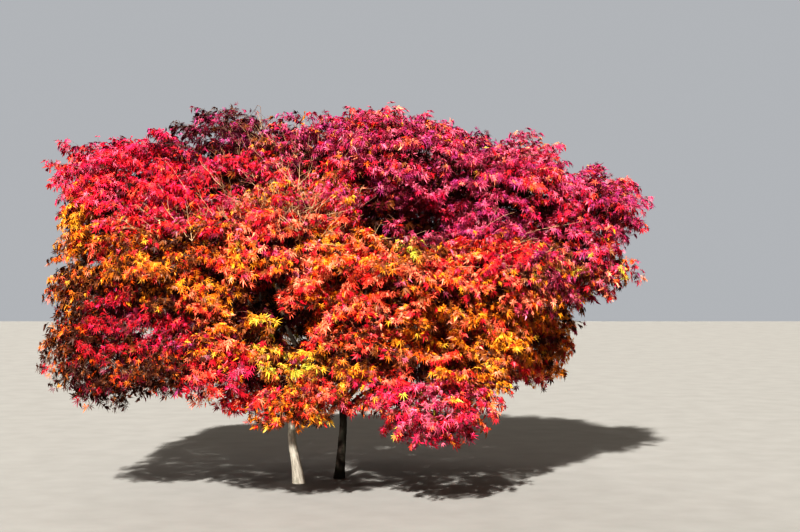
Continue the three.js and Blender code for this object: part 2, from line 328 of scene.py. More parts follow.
def ramp(tree, source, stops):
    """A colour ramp fed by source. stops are (place, colour)."""
    made = tree.nodes.new("ShaderNodeValToRGB")
    elements = made.color_ramp.elements
    while len(elements) < len(stops):
        elements.new(0.5)
    for element, (place, colour) in zip(elements, stops):
        element.position = place
        element.color = (*colour, 1.0)
    tree.links.new(source, made.inputs["Fac"])
    return made.outputs["Color"]


def noise_at(tree, place, scale, detail, stretch=(1, 1, 1)):
    mapping = add_node(tree, "ShaderNodeMapping", Scale=stretch)
    made = add_node(tree, "ShaderNodeTexNoise", Scale=scale, Detail=detail)
    tree.links.new(place, mapping.inputs["Vector"])
    tree.links.new(mapping.outputs["Vector"], made.inputs["Vector"])
    return made.outputs["Fac"]


def object_place(tree):
    return add_node(tree, "ShaderNodeTexCoord").outputs["Object"]


def plain_colour(tree, colour):
    made = add_node(tree, "ShaderNodeRGB")
    made.outputs[0].default_value = (*colour, 1.0)
    return made.outputs[0]


def blend(tree, share, a, b):
    """Colour a where share is 0, b where it is 1."""
    made = add_node(tree, "ShaderNodeMix", data_type="RGBA")
    tree.links.new(share, made.inputs[0])
    tree.links.new(a, made.inputs[6])
    tree.links.new(b, made.inputs[7])
    return made.outputs[2]


def map_range(tree, source, **limits):
    """The source's value brought from one range to another."""
    made = add_node(tree, "ShaderNodeMapRange")
    for limit, value in limits.items():
        made.inputs[limit.replace("_", " ").title()].default_value = value
    tree.links.new(source, made.inputs["Value"])
    return made.outputs["Result"]


def vary_roughness(tree, shader, source, limits):
    rough = map_range(tree, source, to_min=limits[0], to_max=limits[1])
    tree.links.new(rough, shader.inputs["Roughness"])


def bump(tree, height, strength, distance):
    made = add_node(tree, "ShaderNodeBump", Strength=strength, Distance=distance)
    tree.links.new(height, made.inputs["Height"])
    return made


def bark_tone(tree, along, streaks, patches, dark, middle, pale, lichen):
    """The stems' bark: dark, middle and pale streaks with pale specks and patches of lichen."""
    specks = noise_at(tree, along, *SPECKS)
    streaked = ramp(tree, streaks, [(0.3, dark), (0.5, middle), (0.68, pale)])
    speckled = ramp(tree, specks, [(0.4, UNCHANGED), (0.62, SPECKLED)])
    lichened = ramp(tree, patches, [(0.5, UNCHANGED), (0.62, LICHENED)])
    mottled = blend(tree, speckled, streaked, plain_colour(tree, pale))
    return blend(tree, lichened, mottled, plain_colour(tree, lichen))


def bark_material(name, dark, middle, pale, lichen, upper):
    """Smooth maple bark with fine cracks, and a tone for its upper limbs, which on the dark stem is painted
    sunlight.
    """
    material, tree, shader = new_material(name)
    along = add_node(tree, "ShaderNodeAttribute", attribute_name="straightened").outputs["Vector"]
    streaks = noise_at(tree, along, *STREAKS)
    cracks = noise_at(tree, along, *CRACKS)
    patches = noise_at(tree, along, *PATCHES)
    lower_tone = bark_tone(tree, along, streaks, patches, dark, middle, pale, lichen)
    # On the dark stem the upper tone is painted sunlight and the lower one painted shade.
    upper_tone = ramp(tree, streaks, [(0.36, upper[0]), (0.58, upper[1])])
    axes = add_node(tree, "ShaderNodeSeparateXYZ")
    tree.links.new(object_place(tree), axes.inputs[0])
    above = map_range(tree, axes.outputs["Z"], from_min=UPPER_BARK[0], from_max=UPPER_BARK[1])
    tree.links.new(blend(tree, above, lower_tone, upper_tone), shader.inputs["Base Color"])
    vary_roughness(tree, shader, patches, BARK_ROUGHNESS)
    shader.inputs["Specular IOR Level"].default_value = BARK_GLOSS
    coarse = bump(tree, streaks, *STREAK_RELIEF)
    fine = bump(tree, cracks, *CRACK_RELIEF)
    tree.links.new(coarse.outputs["Normal"], fine.inputs["Normal"])
    tree.links.new(fine.outputs["Normal"], shader.inputs["Normal"])
    return material


def twig_material(name, dark, pale):
    material, tree, shader = new_material(name)
    place = object_place(tree)
    mottle = noise_at(tree, place, *TWIG_MOTTLE)
    tree.links.new(ramp(tree, mottle, [(0.35, dark), (0.65, pale)]), shader.inputs["Base Color"])
    shader.inputs["Roughness"].default_value = TWIG_ROUGHNESS
    grain = bump(tree, noise_at(tree, place, *TWIG_GRAIN), *TWIG_RELIEF)
    tree.links.new(grain.outputs["Normal"], shader.inputs["Normal"])
    return material


def leaf_material(name, colour):
    """A thin leaf: a satin face that also lets some light through."""
    material, tree, shader = new_material(name)
    shader.inputs["Base Color"].default_value = (*colour, 1.0)
    vary_roughness(tree, shader, noise_at(tree, object_place(tree), *LEAF_SHEEN), LEAF_ROUGHNESS)
    shader.inputs["Specular IOR Level"].default_value = DARK_GLOSS if max(colour) < DARK_TINT else LEAF_GLOSS
    glow = add_node(tree, "ShaderNodeBsdfTranslucent")
    warm = [min(1.0, c * k) for c, k in zip(colour, GLOW_WARMTH)]
    glow.inputs["Color"].default_value = (*warm, 1.0)
    mix = add_node(tree, "ShaderNodeMixShader")
    mix.inputs[0].default_value = LEAF_GLOW
    tree.links.new(shader.outputs[0], mix.inputs[1])
    tree.links.new(glow.outputs[0], mix.inputs[2])
    tree.links.new(mix.outputs[0], tree.nodes["Material Output"].inputs["Surface"])
    return material


# Camera, lights and floor


def place_camera():
    data = bpy.data.cameras.new("photo_camera")
    data.lens = CAMERA_LENS
    data.sensor_width = CAMERA_SENSOR
    data.clip_end = 100
    made = bpy.data.objects.new("photo_camera", data)
    made.location = CAMERA_PLACE
    made.rotation_euler = (math.radians(90 + CAMERA_PITCH), 0, 0)
    bpy.context.scene.collection.objects.link(made)
    bpy.context.scene.camera = made


def place_light(name, kind, place, heading, **settings):
    """A light at its place that shines along its heading."""
    data = bpy.data.lights.new(name, kind)
    for key, value in settings.items():
        setattr(data, key, value)
    made = bpy.data.objects.new(name, data)
    made.location = place
    made.rotation_euler = Vector(heading).to_track_quat("-Z", "Y").to_euler()
    bpy.context.scene.collection.objects.link(made)


def place_foot_light():
    """A low narrow spot for the patch of sun on the pale stem's foot, under the crown."""
    heading = Vector(FOOT_LIGHT_AIM) - Vector(FOOT_LIGHT_PLACE)
    place_light(
        "foot", "SPOT", FOOT_LIGHT_PLACE, heading, spot_size=math.radians(FOOT_LIGHT_WIDTH), spot_blend=0.3,
        shadow_soft_size=0.03, energy=FOOT_LIGHT_POWER, color=(1.0, 0.97, 0.92))


def place_lights():
    for name, heading, spread, strength, colour in SUNS:
        spread = math.radians(spread)
        place_light(name, "SUN", (0, 0, 0), heading, angle=spread, energy=strength, color=colour)
    place_foot_light()
    world = bpy.data.worlds.new("studio")
    world.use_nodes = True
    background = world.node_tree.nodes["Background"]
    background.inputs["Color"].default_value = SKY_COLOUR
    background.inputs["Strength"].default_value = SKY_STRENGTH
    bpy.context.scene.world = world


def place_floor():
    deselect_all()
    bpy.ops.mesh.primitive_plane_add(size=FLOOR_SIZE, location=(0, 0, 0))
    floor = bpy.context.object
    floor.name = "floor"
    material, tree, shader = new_material("pale_floor")
    tone = ramp(tree, noise_at(tree, object_place(tree), *FLOOR_PATTERN), FLOOR_TONES)
    tree.links.new(tone, shader.inputs["Base Color"])
    shader.inputs["Roughness"].default_value = 0.9
    shader.inputs["Specular IOR Level"].default_value = 0.1
    floor.data.materials.append(material)


def place_backdrop():
    """A plain grey dome round the scene, which only the camera sees."""
    deselect_all()
    bpy.ops.mesh.primitive_uv_sphere_add(segments=48, ring_count=24, radius=BACKDROP_RADIUS)
    dome = bpy.context.object
    dome.name = "backdrop"
    bpy.ops.object.shade_smooth()
    material, tree, _ = new_material("backdrop_grey")
    glow = add_node(tree, "ShaderNodeEmission", Color=BACKDROP_GREY, Strength=1.0)
    tree.links.new(glow.outputs[0], tree.nodes["Material Output"].inputs["Surface"])
    dome.data.materials.append(material)
    for ray in ("diffuse", "glossy", "transmission", "shadow", "volume_scatter"):
        setattr(dome, "visible_" + ray, False)


# Limbs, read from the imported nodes


def node_arrays(name):
    """A node's merged corners and triangles."""
    mesh = nodes[name].data
    places = vertex_rows(mesh, "co")
    _, first, back = np.unique(np.round(places, 5), axis=0, return_index=True, return_inverse=True)
    return places[first], back.ravel()[triangle_rows(mesh)]


def ring_centres(name):
    """The centre and radius of each ring of corners along a limb, from one end to the other."""
    places, faces = node_arrays(name)
    group = np.arange(len(places))
    near = np.linalg.norm(places[:, None] - places[None], axis=2) < RING_REACH
    changed = True
    while changed:
        lowest = np.where(near, group[None, :], len(places)).min(axis=1)
        changed = bool(np.any(lowest != group))
        group = lowest
    labels, member = np.unique(group, return_inverse=True)
    centres = np.array([places[member == i].mean(axis=0) for i in range(len(labels))])
    # The middle corner of an end cap is at its ring's centre, so the largest distance is the radius.
    radii = np.array([
        np.linalg.norm(places[member == i] - centres[i], axis=1).max() for i in range(len(labels))
    ])
    links = {i: set() for i in range(len(labels))}
    for face in faces:
        for a, b in ((0, 1), (1, 2), (2, 0)):
            i, j = member[face[a]], member[face[b]]
            if i != j:
                links[i].add(j)
                links[j].add(i)
    ends = [i for i in links if len(links[i]) == 1]
    at = ends[0] if ends else int(np.argmin(centres[:, 2]))
    order = [at]
    while len(order) < len(labels):
        rest = [i for i in range(len(labels)) if i not in order]
        linked = [i for i in rest if i in links[order[-1]]] or rest
        order.append(min(linked, key=lambda i: np.linalg.norm(centres[i] - centres[order[-1]])))
    return centres[order], radii[order]


def smooth_line(points, step):
    """Places at even steps on a smooth curve through the rows of points, radii included."""
    points = np.asarray(points, float)
    padded = np.vstack([2 * points[0] - points[1], points, 2 * points[-1] - points[-2]])
    made = []
    for i in range(len(points) - 1):
        a, b, c, d = padded[i:i + 4]
        count = max(2, int(math.ceil(np.linalg.norm((c - b)[:3]) / step)))
        t = np.linspace(0, 1, count, endpoint=False)[:, None]
        made.append(0.5 * (2 * b + (c - a) * t + (2 * a - 5 * b + 4 * c - d) * t**2
                           + (3 * b - a - 3 * c + d) * t**3))
    made.append(points[-1:])
    return np.vstack(made)


def nearest_limb(name, rough):
    """The limb that a bough grows from, which of the bough's ends meets it, and where."""
    best = None
    for other, (theirs, _) in rough.items():
        if other == name:
            continue
        line = smooth_line(theirs, 2 * LINE_STEP)
        for end in (0, -1):
            gaps = np.linalg.norm(line - rough[name][0][end], axis=1)
            if best is None or gaps.min() < best[0]:
                best = (gaps.min(), other, end, line[gaps.argmin()])
    return best[1:]


def read_limbs():
    """Each limb as rows of x, y, z and radius, from its foot to its tip, and each one's parent."""
    rough = {n: ring_centres(n) for n in sorted(nodes) if n.startswith(LIMB_NAMES)}
    parents, lines = {}, {}
    for name, (centres, radii) in rough.items():
        rows = np.column_stack([centres, radii])
        if name.startswith("stem"):
            parents[name] = None
            lines[name] = rows[np.argsort(centres[:, 2])]
            continue
        parents[name], end, root = nearest_limb(name, rough)
        if end == -1:
            rows = rows[::-1]
        rows[0, 3] = max(np.median(radii), rows[1, 3] * 1.06)
        lines[name] = np.vstack([[*root, rows[0, 3] * ROOT_SWELL], rows])
    return {n: smooth_line(rows, LINE_STEP) for n, rows in lines.items()}, parents


def rooted_in(name, parents):
    while parents[name]:
        name = parents[name]
    return name


def along_frames(line):
    """A steady pair of side directions at each place of a line."""
    tangents = unit(np.gradient(line[:, :3], axis=0))
    side = unit(np.cross(tangents[0], [0.3, 1.0, 0.2]))
    sides = [side]
    for tangent in tangents[1:]:
        side = unit(side - tangent * np.dot(side, tangent))
        sides.append(side)
    sides = np.array(sides)
    return tangents, sides, np.cross(tangents, sides)


def bark_tube(line, name):
    """One limb as a curve with its own thickness, made a mesh."""
    deselect_all()
    bpy.ops.curve.primitive_nurbs_path_add()
    path = bpy.context.object
    path.name = name
    curve = path.data
    curve.splines.clear()
    spline = curve.splines.new("POLY")
    spline.points.add(len(line) - 1)
    spline.points.foreach_set("co", np.column_stack([line[:, :3], np.ones(len(line))]).ravel())
    spline.points.foreach_set("radius", line[:, 3])
    curve.dimensions = "3D"
    curve.bevel_depth = 1.0
    curve.bevel_resolution = 5
    curve.use_fill_caps = True
    path.location = (0, 0, 0)
    bpy.ops.object.convert(target="MESH")
    return bpy.context.object


def model_bark(name, members, limbs, material):
    """The bark of one stem and its boughs: tubes fused by a remesh, smoothed and given relief."""
    tubes = []
    for member in members:
        line = limbs[member].copy()
        if member.startswith("stem"):
            below = line[0].copy()
            below[2] -= ROOT_DEPTH
            line = np.vstack([below, line])
        line[:, 3] += BARK_VOXEL * BARK_ADDED
        tubes.append(bark_tube(line, member + "_tube"))
    bark = joined(tubes)
    bark.name = name
    bark.data.name = name
    apply_modifier(bark, "REMESH", mode="VOXEL", voxel_size=BARK_VOXEL)
    apply_modifier(bark, "SMOOTH", factor=0.5, iterations=BARK_SMOOTHING)
    relieve_bark(bark, members, limbs)
    bpy.ops.object.mode_set(mode="EDIT")
    bpy.ops.mesh.select_all(action="SELECT")
    bpy.ops.mesh.bisect(plane_co=(0, 0, 0), plane_no=(0, 0, 1), clear_inner=True, use_fill=True)
    bpy.ops.object.mode_set(mode="OBJECT")
    bpy.ops.object.shade_smooth()
    bark.data.materials.clear()
    bark.data.materials.append(material)
    return bark


def relieve_bark(bark, members, limbs):
    """Presses ridges and knobs into the bark, and keeps each vertex's straightened place."""
    lines = [limbs[m] for m in members]
    table = np.vstack([np.column_stack([line[:, :3], *along_frames(line)]) for line in lines])
    length = np.concatenate([
        np.arange(len(line)) * LINE_STEP + LIMB_SHIFT * i for i, line in enumerate(lines)
    ])
    tree = KDTree(len(table))
    for i, row in enumerate(table):
        tree.insert(row[:3], i)
    tree.balance()
    places = vertex_rows(bark.data, "co")
    nearest = np.array([tree.find(p)[1] for p in places])
    offset = places - table[nearest, :3]
    along, across, over = (np.einsum("ij,ij->i", offset, table[nearest, k:k + 3]) for k in (3, 6, 9))
    straightened = np.column_stack([across, over, length[nearest] + along])
    ridges = straightened * RIDGE_FINENESS
    knobs = straightened * KNOB_FINENESS + KNOB_SHIFT
    lift = np.array([
        BARK_RIDGE * noise.noise(ridge) + BARK_KNOB * noise.noise(knob) for ridge, knob in zip(ridges, knobs)
    ])
    places += vertex_rows(bark.data, "normal") * lift[:, None]
    bark.data.vertices.foreach_set("co", places.astype(np.float32).ravel())
    keep_straightened(bark.data, straightened)
    bark.data.update()


# Masses and sprays


def read_masses():
    """The names, centres and half sizes of the frame's foliage masses."""
    names = sorted(n for n in nodes if not n.startswith(LIMB_NAMES))
    corners = [node_arrays(n)[0] for n in names]
    low = np.array([c.min(axis=0) for c in corners])
    high = np.array([c.max(axis=0) for c in corners])
    return names, (low + high) / 2, (high - low) / 2


def drifting_noise(places, fineness, finer, share):
    """Noise at each place, with a share of finer noise added."""
    return np.array([
        noise.noise(Vector(p) * fineness) + share * noise.noise(Vector(p) * finer) for p in places
    ])


def within(places, centre, half):
    """Which of the places lie in an ellipsoid of this centre and these half sizes."""
    return np.linalg.norm((places - centre) / half, axis=1) < 1


# Openings in the crown: centre, half size and the share of sprays left inside.
OPENINGS = (
    ((-0.20, -1.20, 1.63), (0.24, 1.35, 0.13), 0.0),
    ((-0.01, -1.20, 1.41), (0.15, 1.35, 0.21), 0.0),
    ((-0.45, -1.20, 1.50), (0.10, 0.45, 0.08), 0.15),
    ((0.19, -1.20, 1.19), (0.07, 0.55, 0.10), 0.10),
    ((-0.86, 0.00, 3.20), (0.20, 1.20, 0.13), 0.15),
    ((-0.95, -1.20, 1.72), (0.13, 0.40, 0.10), 0.10),
    ((0.62, -1.20, 1.52), (0.20, 0.40, 0.06), 0.20),
    ((0.36, -1.20, 0.98), (0.13, 0.40, 0.14), 0.20),
    ((1.05, -1.10, 1.10), (0.19, 0.80, 0.10), 0.05),
    ((1.01, -1.10, 1.39), (0.12, 0.75, 0.07), 0.10),
    ((1.22, -1.20, 1.40), (0.09, 0.45, 0.05), 0.15),
    ((0.90, -1.00, 2.08), (0.32, 0.50, 0.07), 0.25),
    ((-0.02, -1.00, 2.34), (0.26, 0.60, 0.22), 0.3),
    ((-0.54, 0.00, 3.06), (0.75, 1.20, 0.24), 0.45),
)


def layer_height(places):
    """How high each place is once the slope of the leaf layers is taken out."""
    x, y, z = places.T
    outward = np.hypot(x - CROWN_AXIS[0], y - CROWN_AXIS[1])
    rightward = RIGHTWARD[0] * x + RIGHTWARD[1] * y
    left = np.clip((LOW_LEFT_EDGE - x) / LOW_LEFT_FADE[0], 0, 1)
    front = np.clip(-y / LOW_LEFT_FADE[1], 0, 1)
    low = np.clip((LOW_LEFT_TOP - z) / LOW_LEFT_FADE[2], 0, 1)
    share = low * left * front
    run = outward * (1 - share) + (rightward + RIGHTWARD_START) * share
    return z + LAYER_SLOPE * run + LAYER_WAVER * drifting_noise(places, *LAYER_NOISE)


def layer_fall(places):
    """The level direction in which the layer at each place falls away."""
    step = 0.04
    here = layer_height(places)
    east = layer_height(places + [step, 0, 0]) - here
    north = layer_height(places + [0, step, 0]) - here
    return unit(np.column_stack([east, north, np.zeros(len(places))]))


def crown_skin(names):
    """The masses fused into one skin: swollen, remeshed and drawn back, so valleys are filled."""
    skin = joined([mesh_object(n + "_copy", *node_arrays(n), None) for n in names])
    voxels = dict(mode="VOXEL", voxel_size=SKIN_VOXEL)
    apply_modifier(skin, "REMESH", **voxels)
    apply_modifier(skin, "DISPLACE", mid_level=0, strength=VALLEY_FILL)
    apply_modifier(skin, "REMESH", **voxels)
    apply_modifier(skin, "SMOOTH", iterations=SKIN_SMOOTHING)
    apply_modifier(skin, "DISPLACE", mid_level=0, strength=-VALLEY_FILL)
    apply_modifier(skin, "REMESH", **voxels)
    triangles = vertex_rows(skin.data, "co")[triangle_rows(skin.data)]
    bpy.data.objects.remove(skin)
    return triangles


def spread_over(triangles, tries):
    """Random places on the skin, and its normals there."""
    crossed = np.cross(triangles[:, 1] - triangles[:, 0], triangles[:, 2] - triangles[:, 0])
    area = np.linalg.norm(crossed, axis=1)
    picked = random.choice(len(triangles), tries, p=area / area.sum())
    a, b = random.random((2, tries))
    flip = a + b > 1
    a[flip], b[flip] = 1 - a[flip], 1 - b[flip]
    corner = triangles[picked]
    edges = corner[:, 1:] - corner[:, :1]
    return corner[:, 0] + a[:, None] * edges[:, 0] + b[:, None] * edges[:, 1], unit(crossed[picked])


def thinned(places, keep, spacing):
    """The order numbers of places kept by chance and at least the spacing apart."""
    drawn = random.random(len(places))
    metric = places * [1, 1, UPRIGHT_SPACING]
    chosen, grid = [], {}
    for i in np.nonzero(drawn < keep)[0]:
        cell = tuple((metric[i] // spacing).astype(int))
        near = [
            j
            for dx in (-1, 0, 1) for dy in (-1, 0, 1) for dz in (-1, 0, 1)
            for j in grid.get((cell[0] + dx, cell[1] + dy, cell[2] + dz), ())
        ]
        if near and np.min(np.linalg.norm(metric[near] - metric[i], axis=1)) < spacing:
            continue
        grid.setdefault(cell, []).append(i)
        chosen.append(i)
    return np.array(chosen)


def left_open(places, keep):
    """The shares kept, less in the openings."""
    for centre, half, left in OPENINGS:
        keep = np.where(within(places, centre, half), keep * left, keep)
    return keep


# Where the layers close up into an unbroken face: centre and half size.
FULL_PARTS = (
    ((0.72, -0.80, 2.42), (0.40, 0.90, 0.15)),
    ((-1.17, -0.60, 2.52), (0.45, 1.00, 0.16)),
    ((-1.60, -0.60, 2.14), (0.25, 0.80, 0.12)),
    ((0.35, -1.20, 1.85), (0.65, 0.60, 0.13)),
    ((-1.00, -1.20, 1.85), (0.35, 0.60, 0.12)),
    ((-0.52, -1.20, 1.20), (0.25, 0.60, 0.15)),
    ((-0.12, -1.20, 1.14), (0.24, 0.60, 0.17)),
)


def layered(places, keep):
    """The shares kept, less between the layers of leaves."""
    phase = layer_height(places) / LAYER_HEIGHT
    phase -= np.floor(phase)
    part = np.where(phase < LAYER_FILLED, 1.0, BETWEEN_LAYERS)
    for centre, half in FULL_PARTS:
        part = np.where(within(places, centre, half), 1.0, part)
    return keep * part


# Where the sprays are thinly leaved: centre, half size and the share of leaves they keep.
THIN_PARTS = (
    ((-0.06, -1.00, 2.50), (0.45, 0.90, 0.30), 0.75),
    ((-0.50, 0.00, 3.15), (0.65, 2.00, 0.22), 0.55),
    ((1.00, 0.00, 3.22), (1.30, 2.00, 0.14), 0.75),
    ((2.30, -0.40, 1.85), (0.55, 0.90, 0.22), 0.7),
    ((-1.90, -0.40, 1.75), (0.35, 1.20, 0.40), 0.75),
)


def leaf_fullness(places):
    """The share of its leaves that each spray keeps."""
    full = np.ones(len(places))
    for centre, half, share in THIN_PARTS:
        full = np.where(within(places, centre, half), np.minimum(full, share), full)
    return full


def facing_in(places, outward):
    """How far the skin at each place faces the crown's axis, from -1 to 1."""
    from_axis = np.column_stack([places[:, :2] - CROWN_AXIS, np.zeros(len(places))])
    return -np.einsum("ij,ij->i", unit(from_axis), outward)


def outer_places(triangles):
    """Where the leafy sprays stand, and which way is outward there."""
    skin, outward = spread_over(triangles, SPRAY_TRIES)
    lift = random.uniform(*SPRAY_LIFT, SPRAY_TRIES)
    leads = (random.random(SPRAY_TRIES) < LEADER_SHARE) & (outward[:, 2] > LEADER_LOWEST)
    lift = np.where(leads, random.uniform(*LEADER_REACH, SPRAY_TRIES), lift)
    places = skin + outward * lift[:, None]
    low, high = (np.array(corner) for corner in cad_box)
    places = np.clip(places, low + BOX_INSET, high - BOX_INSET)
    keep = np.where(outward[:, 2] < UNDERSIDE, UNDERSIDE_SHARE, 1.0)
    keep = np.where(facing_in(places, outward) > FACING_IN, np.minimum(keep, FACING_IN_SHARE), keep)
    chosen = thinned(places, left_open(places, layered(places, keep)), SPRAY_SPACING)
    return places[chosen], outward[chosen]


def skin_tree(triangles):
    corners = triangles.reshape(-1, 3)
    return BVHTree.FromPolygons(
        [tuple(p) for p in corners], [(i, i + 1, i + 2) for i in range(0, len(corners), 3)])


def inner_places(triangles, tree):
    """Where the shaded sprays stand, further in."""
    skin, outward = spread_over(triangles, DEEP_TRIES)
    places = skin - outward * random.uniform(*DEEP, DEEP_TRIES)[:, None]
    keep = np.where(facing_in(skin, outward) > DEEP_FACING_IN, 0.0, 1.0)
    chosen = []
    for i in thinned(places, left_open(places, keep), DEEP_SPACING):
        place = Vector(places[i])
        near, normal, _, gap = tree.find_nearest(place)
        held = (place - near).dot(normal) < 0
        covered = place.z > HOLLOW_FLOOR and tree.ray_cast(place, Vector(UP))[0] is not None
        if gap > DEEP[0] * DEEP_LEAST and (held or covered):
            chosen.append(i)
    return places[chosen], outward[chosen]


def spray_directions(places, outward):
    """Which way each spray points: down its layer, and rising on top of the crown."""
    level = unit(SPRAY_OUTWARD * unit(outward * [1, 1, 0]) + SPRAY_DOWNHILL * layer_fall(places))
    top = np.clip((outward[:, 2] - RISE_FROM) / (1 - RISE_FROM), 0, 1)
    pitch = -LAYER_SLOPE + SPRAY_RISE * top + PITCH_SCATTER * random.standard_normal(len(places))
    turn = TURN_SCATTER * random.standard_normal(len(places))
    level = unit(level + np.cross(level, UP) * turn[:, None])
    return unit(level + UP * pitch[:, None])


# Branches


class Wood:
    """Tubes gathered into arrays: branches and twigs."""

    def __init__(self):
        self.places, self.faces, self.straightened, self.count = [], [], [], 0

    def tube(self, line, radii, sides):
        """A tube along the line, closed by its own narrowing at the tip."""
        _, u, v = along_frames(line)
        angle = np.arange(sides) * 2 * math.pi / sides
        ring = np.cos(angle)[None, :, None] * u[:, None] + np.sin(angle)[None, :, None] * v[:, None]
        places = line[:, None, :3] + ring * np.asarray(radii)[:, None, None]
        rings = len(line)
        i, j = np.meshgrid(np.arange(rings - 1), np.arange(sides), indexing="ij")
        k = (j + 1) % sides
        a, b, c, d = i * sides + j, i * sides + k, (i + 1) * sides + k, (i + 1) * sides + j
        quads = np.stack([a, b, c, d], axis=-1).reshape(-1, 4)
        self.places.append(places.reshape(-1, 3))
        self.faces.append(quads + self.count)
        length = np.concatenate([[0], np.linalg.norm(np.diff(line[:, :3], axis=0), axis=1).cumsum()])
        flat = np.column_stack([np.cos(angle), np.sin(angle)])[None] * np.asarray(radii)[:, None, None]
        along = np.broadcast_to(length[:, None, None] + self.count * 0.013, (rings, sides, 1))
        self.straightened.append(np.concatenate([flat, along], axis=2).reshape(-1, 3))
        self.count += rings * sides

    def made(self, name, material):
        piece = mesh_object(name, np.vstack(self.places), np.vstack(self.faces), material)
        piece.data.polygons.foreach_set("use_smooth", np.ones(len(piece.data.polygons), bool))
        keep_straightened(piece.data, np.vstack(self.straightened))
        return piece


def bowed(start, leave, end, arrive, count, waver):
    """A curve from start to end that leaves and arrives in the given directions."""
    span = np.linalg.norm(end - start)
    t = np.linspace(0, 1, count)[:, None]
    out = leave * span * BRANCH_BOW
    into = arrive * span * BRANCH_BOW
    line = ((2 * t**3 - 3 * t**2 + 1) * start + (t**3 - 2 * t**2 + t) * out
            + (-2 * t**3 + 3 * t**2) * end + (t**3 - t**2) * into)
    inner = random.standard_normal((count, 3)) * waver * span
    inner[0] = inner[-1] = 0
    return line + inner


def split_by_place(items, places, parts):
    """Sorts items into parts by nearness, a few rounds of nearest centres."""
    start = random.choice(len(items), parts, replace=False)
    centres = places[items[start]]
    for _ in range(SPLIT_ROUNDS):
        nearest = np.argmin(np.linalg.norm(places[items][:, None] - centres[None], axis=2), axis=1)
        centres = np.array([
            places[items[nearest == k]].mean(axis=0) if np.any(nearest == k) else centres[k]
            for k in range(parts)
        ])
    groups = [items[nearest == k] for k in range(parts)]
    return [g for g in groups if len(g)]


def grow(wood, base, heading, items, places, directions, thickness, total):
    """Branches from base to every spray in items, dividing as it goes."""

    def radius(load):
        return max(TWIG_RADIUS, thickness * (load / total) ** PIPE_POWER)

    if len(items) == 1:
        i = items[0]
        line = bowed(base, heading, places[i], directions[i], 5, TWIG_WAVER)
        wood.tube(line, np.linspace(radius(1) * ROOT_SWELL, TWIG_RADIUS, 5), 3)
        return
    for group in split_by_place(items, places, 2 if len(items) < TWO_WAY else 3):
        step = places[group].mean(axis=0) - base
        way = unit(step)
        if len(group) == 1:
            grow(wood, base, unit(heading + way), group, places, directions, thickness, total)
            continue
        reach = np.linalg.norm(step)
        nearest = np.linalg.norm(places[group] - base, axis=1).min()
        share = min(SPLIT_SHARE, SPLIT_CLEAR * nearest / max(reach, 1e-6))
        end = base + step * share + UP * BRANCH_RISE * reach * random.standard_normal()
        arrive = unit(way + BRANCH_KEEPS_ON * heading + BRANCH_SCATTER * random.standard_normal(3))
        leave = unit(heading + BRANCH_TURNS * way)
        thick = radius(len(group))
        count, sides = (7, 6) if len(group) > STOUT else (4, 4)
        line = bowed(base, leave, end, arrive, count, BRANCH_WAVER)
        wood.tube(line, np.linspace(thick, thick * BRANCH_TAPER, count), sides)
        grow(wood, end, arrive, group, places, directions, thickness, total)


# Leaves


# A leaf's lobes: the angle from its midrib and the length in leaf lengths.
LOBES = ((-66, 0.76), (-34, 0.95), (0, 1.0), (34, 0.95), (66, 0.76))
HEEL_LOBES = ((-108, 0.44), (108, 0.44))
LOBE_HALF_ANGLE = 7.4
SHOULDER = 0.43
FOLD = 0.05
DROOP = 0.3
PLAIN_LOBE = (-14, 10)  # where the two corners of a one-triangle lobe are, in degrees from its own angle
LOBE_LIFT = 0.09  # how far each corner of a leaf strays from its face


def polar(degrees, reach, lift=0.0):
    a = math.radians(degrees)
    return (math.sin(a) * reach, math.cos(a) * reach, lift - DROOP * reach**2)


def leaf_template():
    """A star leaf: corners in leaf lengths, and the triangles between them."""
    corners = [(0.0, 0.0, 0.0)]
    faces = []
    for degrees, length in LOBES:
        i = len(corners)
        shoulder = SHOULDER * length
        corners += [
            polar(degrees - LOBE_HALF_ANGLE, shoulder, FOLD),
            polar(degrees, length),
            polar(degrees + LOBE_HALF_ANGLE, shoulder, FOLD),
        ]
        faces += [(0, i + 1, i), (0, i + 2, i + 1)]
    for degrees, length in HEEL_LOBES:
        i = len(corners)
        corners += [polar(degrees + PLAIN_LOBE[0], 0.8 * length), polar(degrees + PLAIN_LOBE[1], length)]
        faces.append((0, i + 1, i))
    return np.array(corners), np.array(faces)


def inner_leaf_template():
    """A plain star of one triangle to a lobe, for the shade inside the crown."""
    corners = [(0.0, 0.0, 0.0)]
    faces = []
    for degrees, length in LOBES:
        i = len(corners)
        corners += [
            polar(degrees + PLAIN_LOBE[0], 0.58 * length, FOLD),
            polar(degrees + PLAIN_LOBE[1], length),
        ]
        faces.append((0, i + 1, i))
    return np.array(corners), np.array(faces)


class Leaves:
    """Leaves of one kind gathered as rows, then made into one piece for each tint."""

    def __init__(self, kind, template):
        self.kind = kind
        self.template = template
        self.rows = []

    def add(self, stalk, base, axis, face, size, tint):
        self.rows.append(np.column_stack([stalk, base, axis, face, size, tint]))

    def made(self):
        rows = np.vstack(self.rows)
        pieces = []
        for number, (tint, colour) in enumerate(TINTS.items()):
            chosen = rows[rows[:, -1] == number]
            if len(chosen):
                name = self.kind + "_" + tint
                pieces.append(leaf_piece(name, chosen, leaf_material(name, colour), self.template))
        return pieces


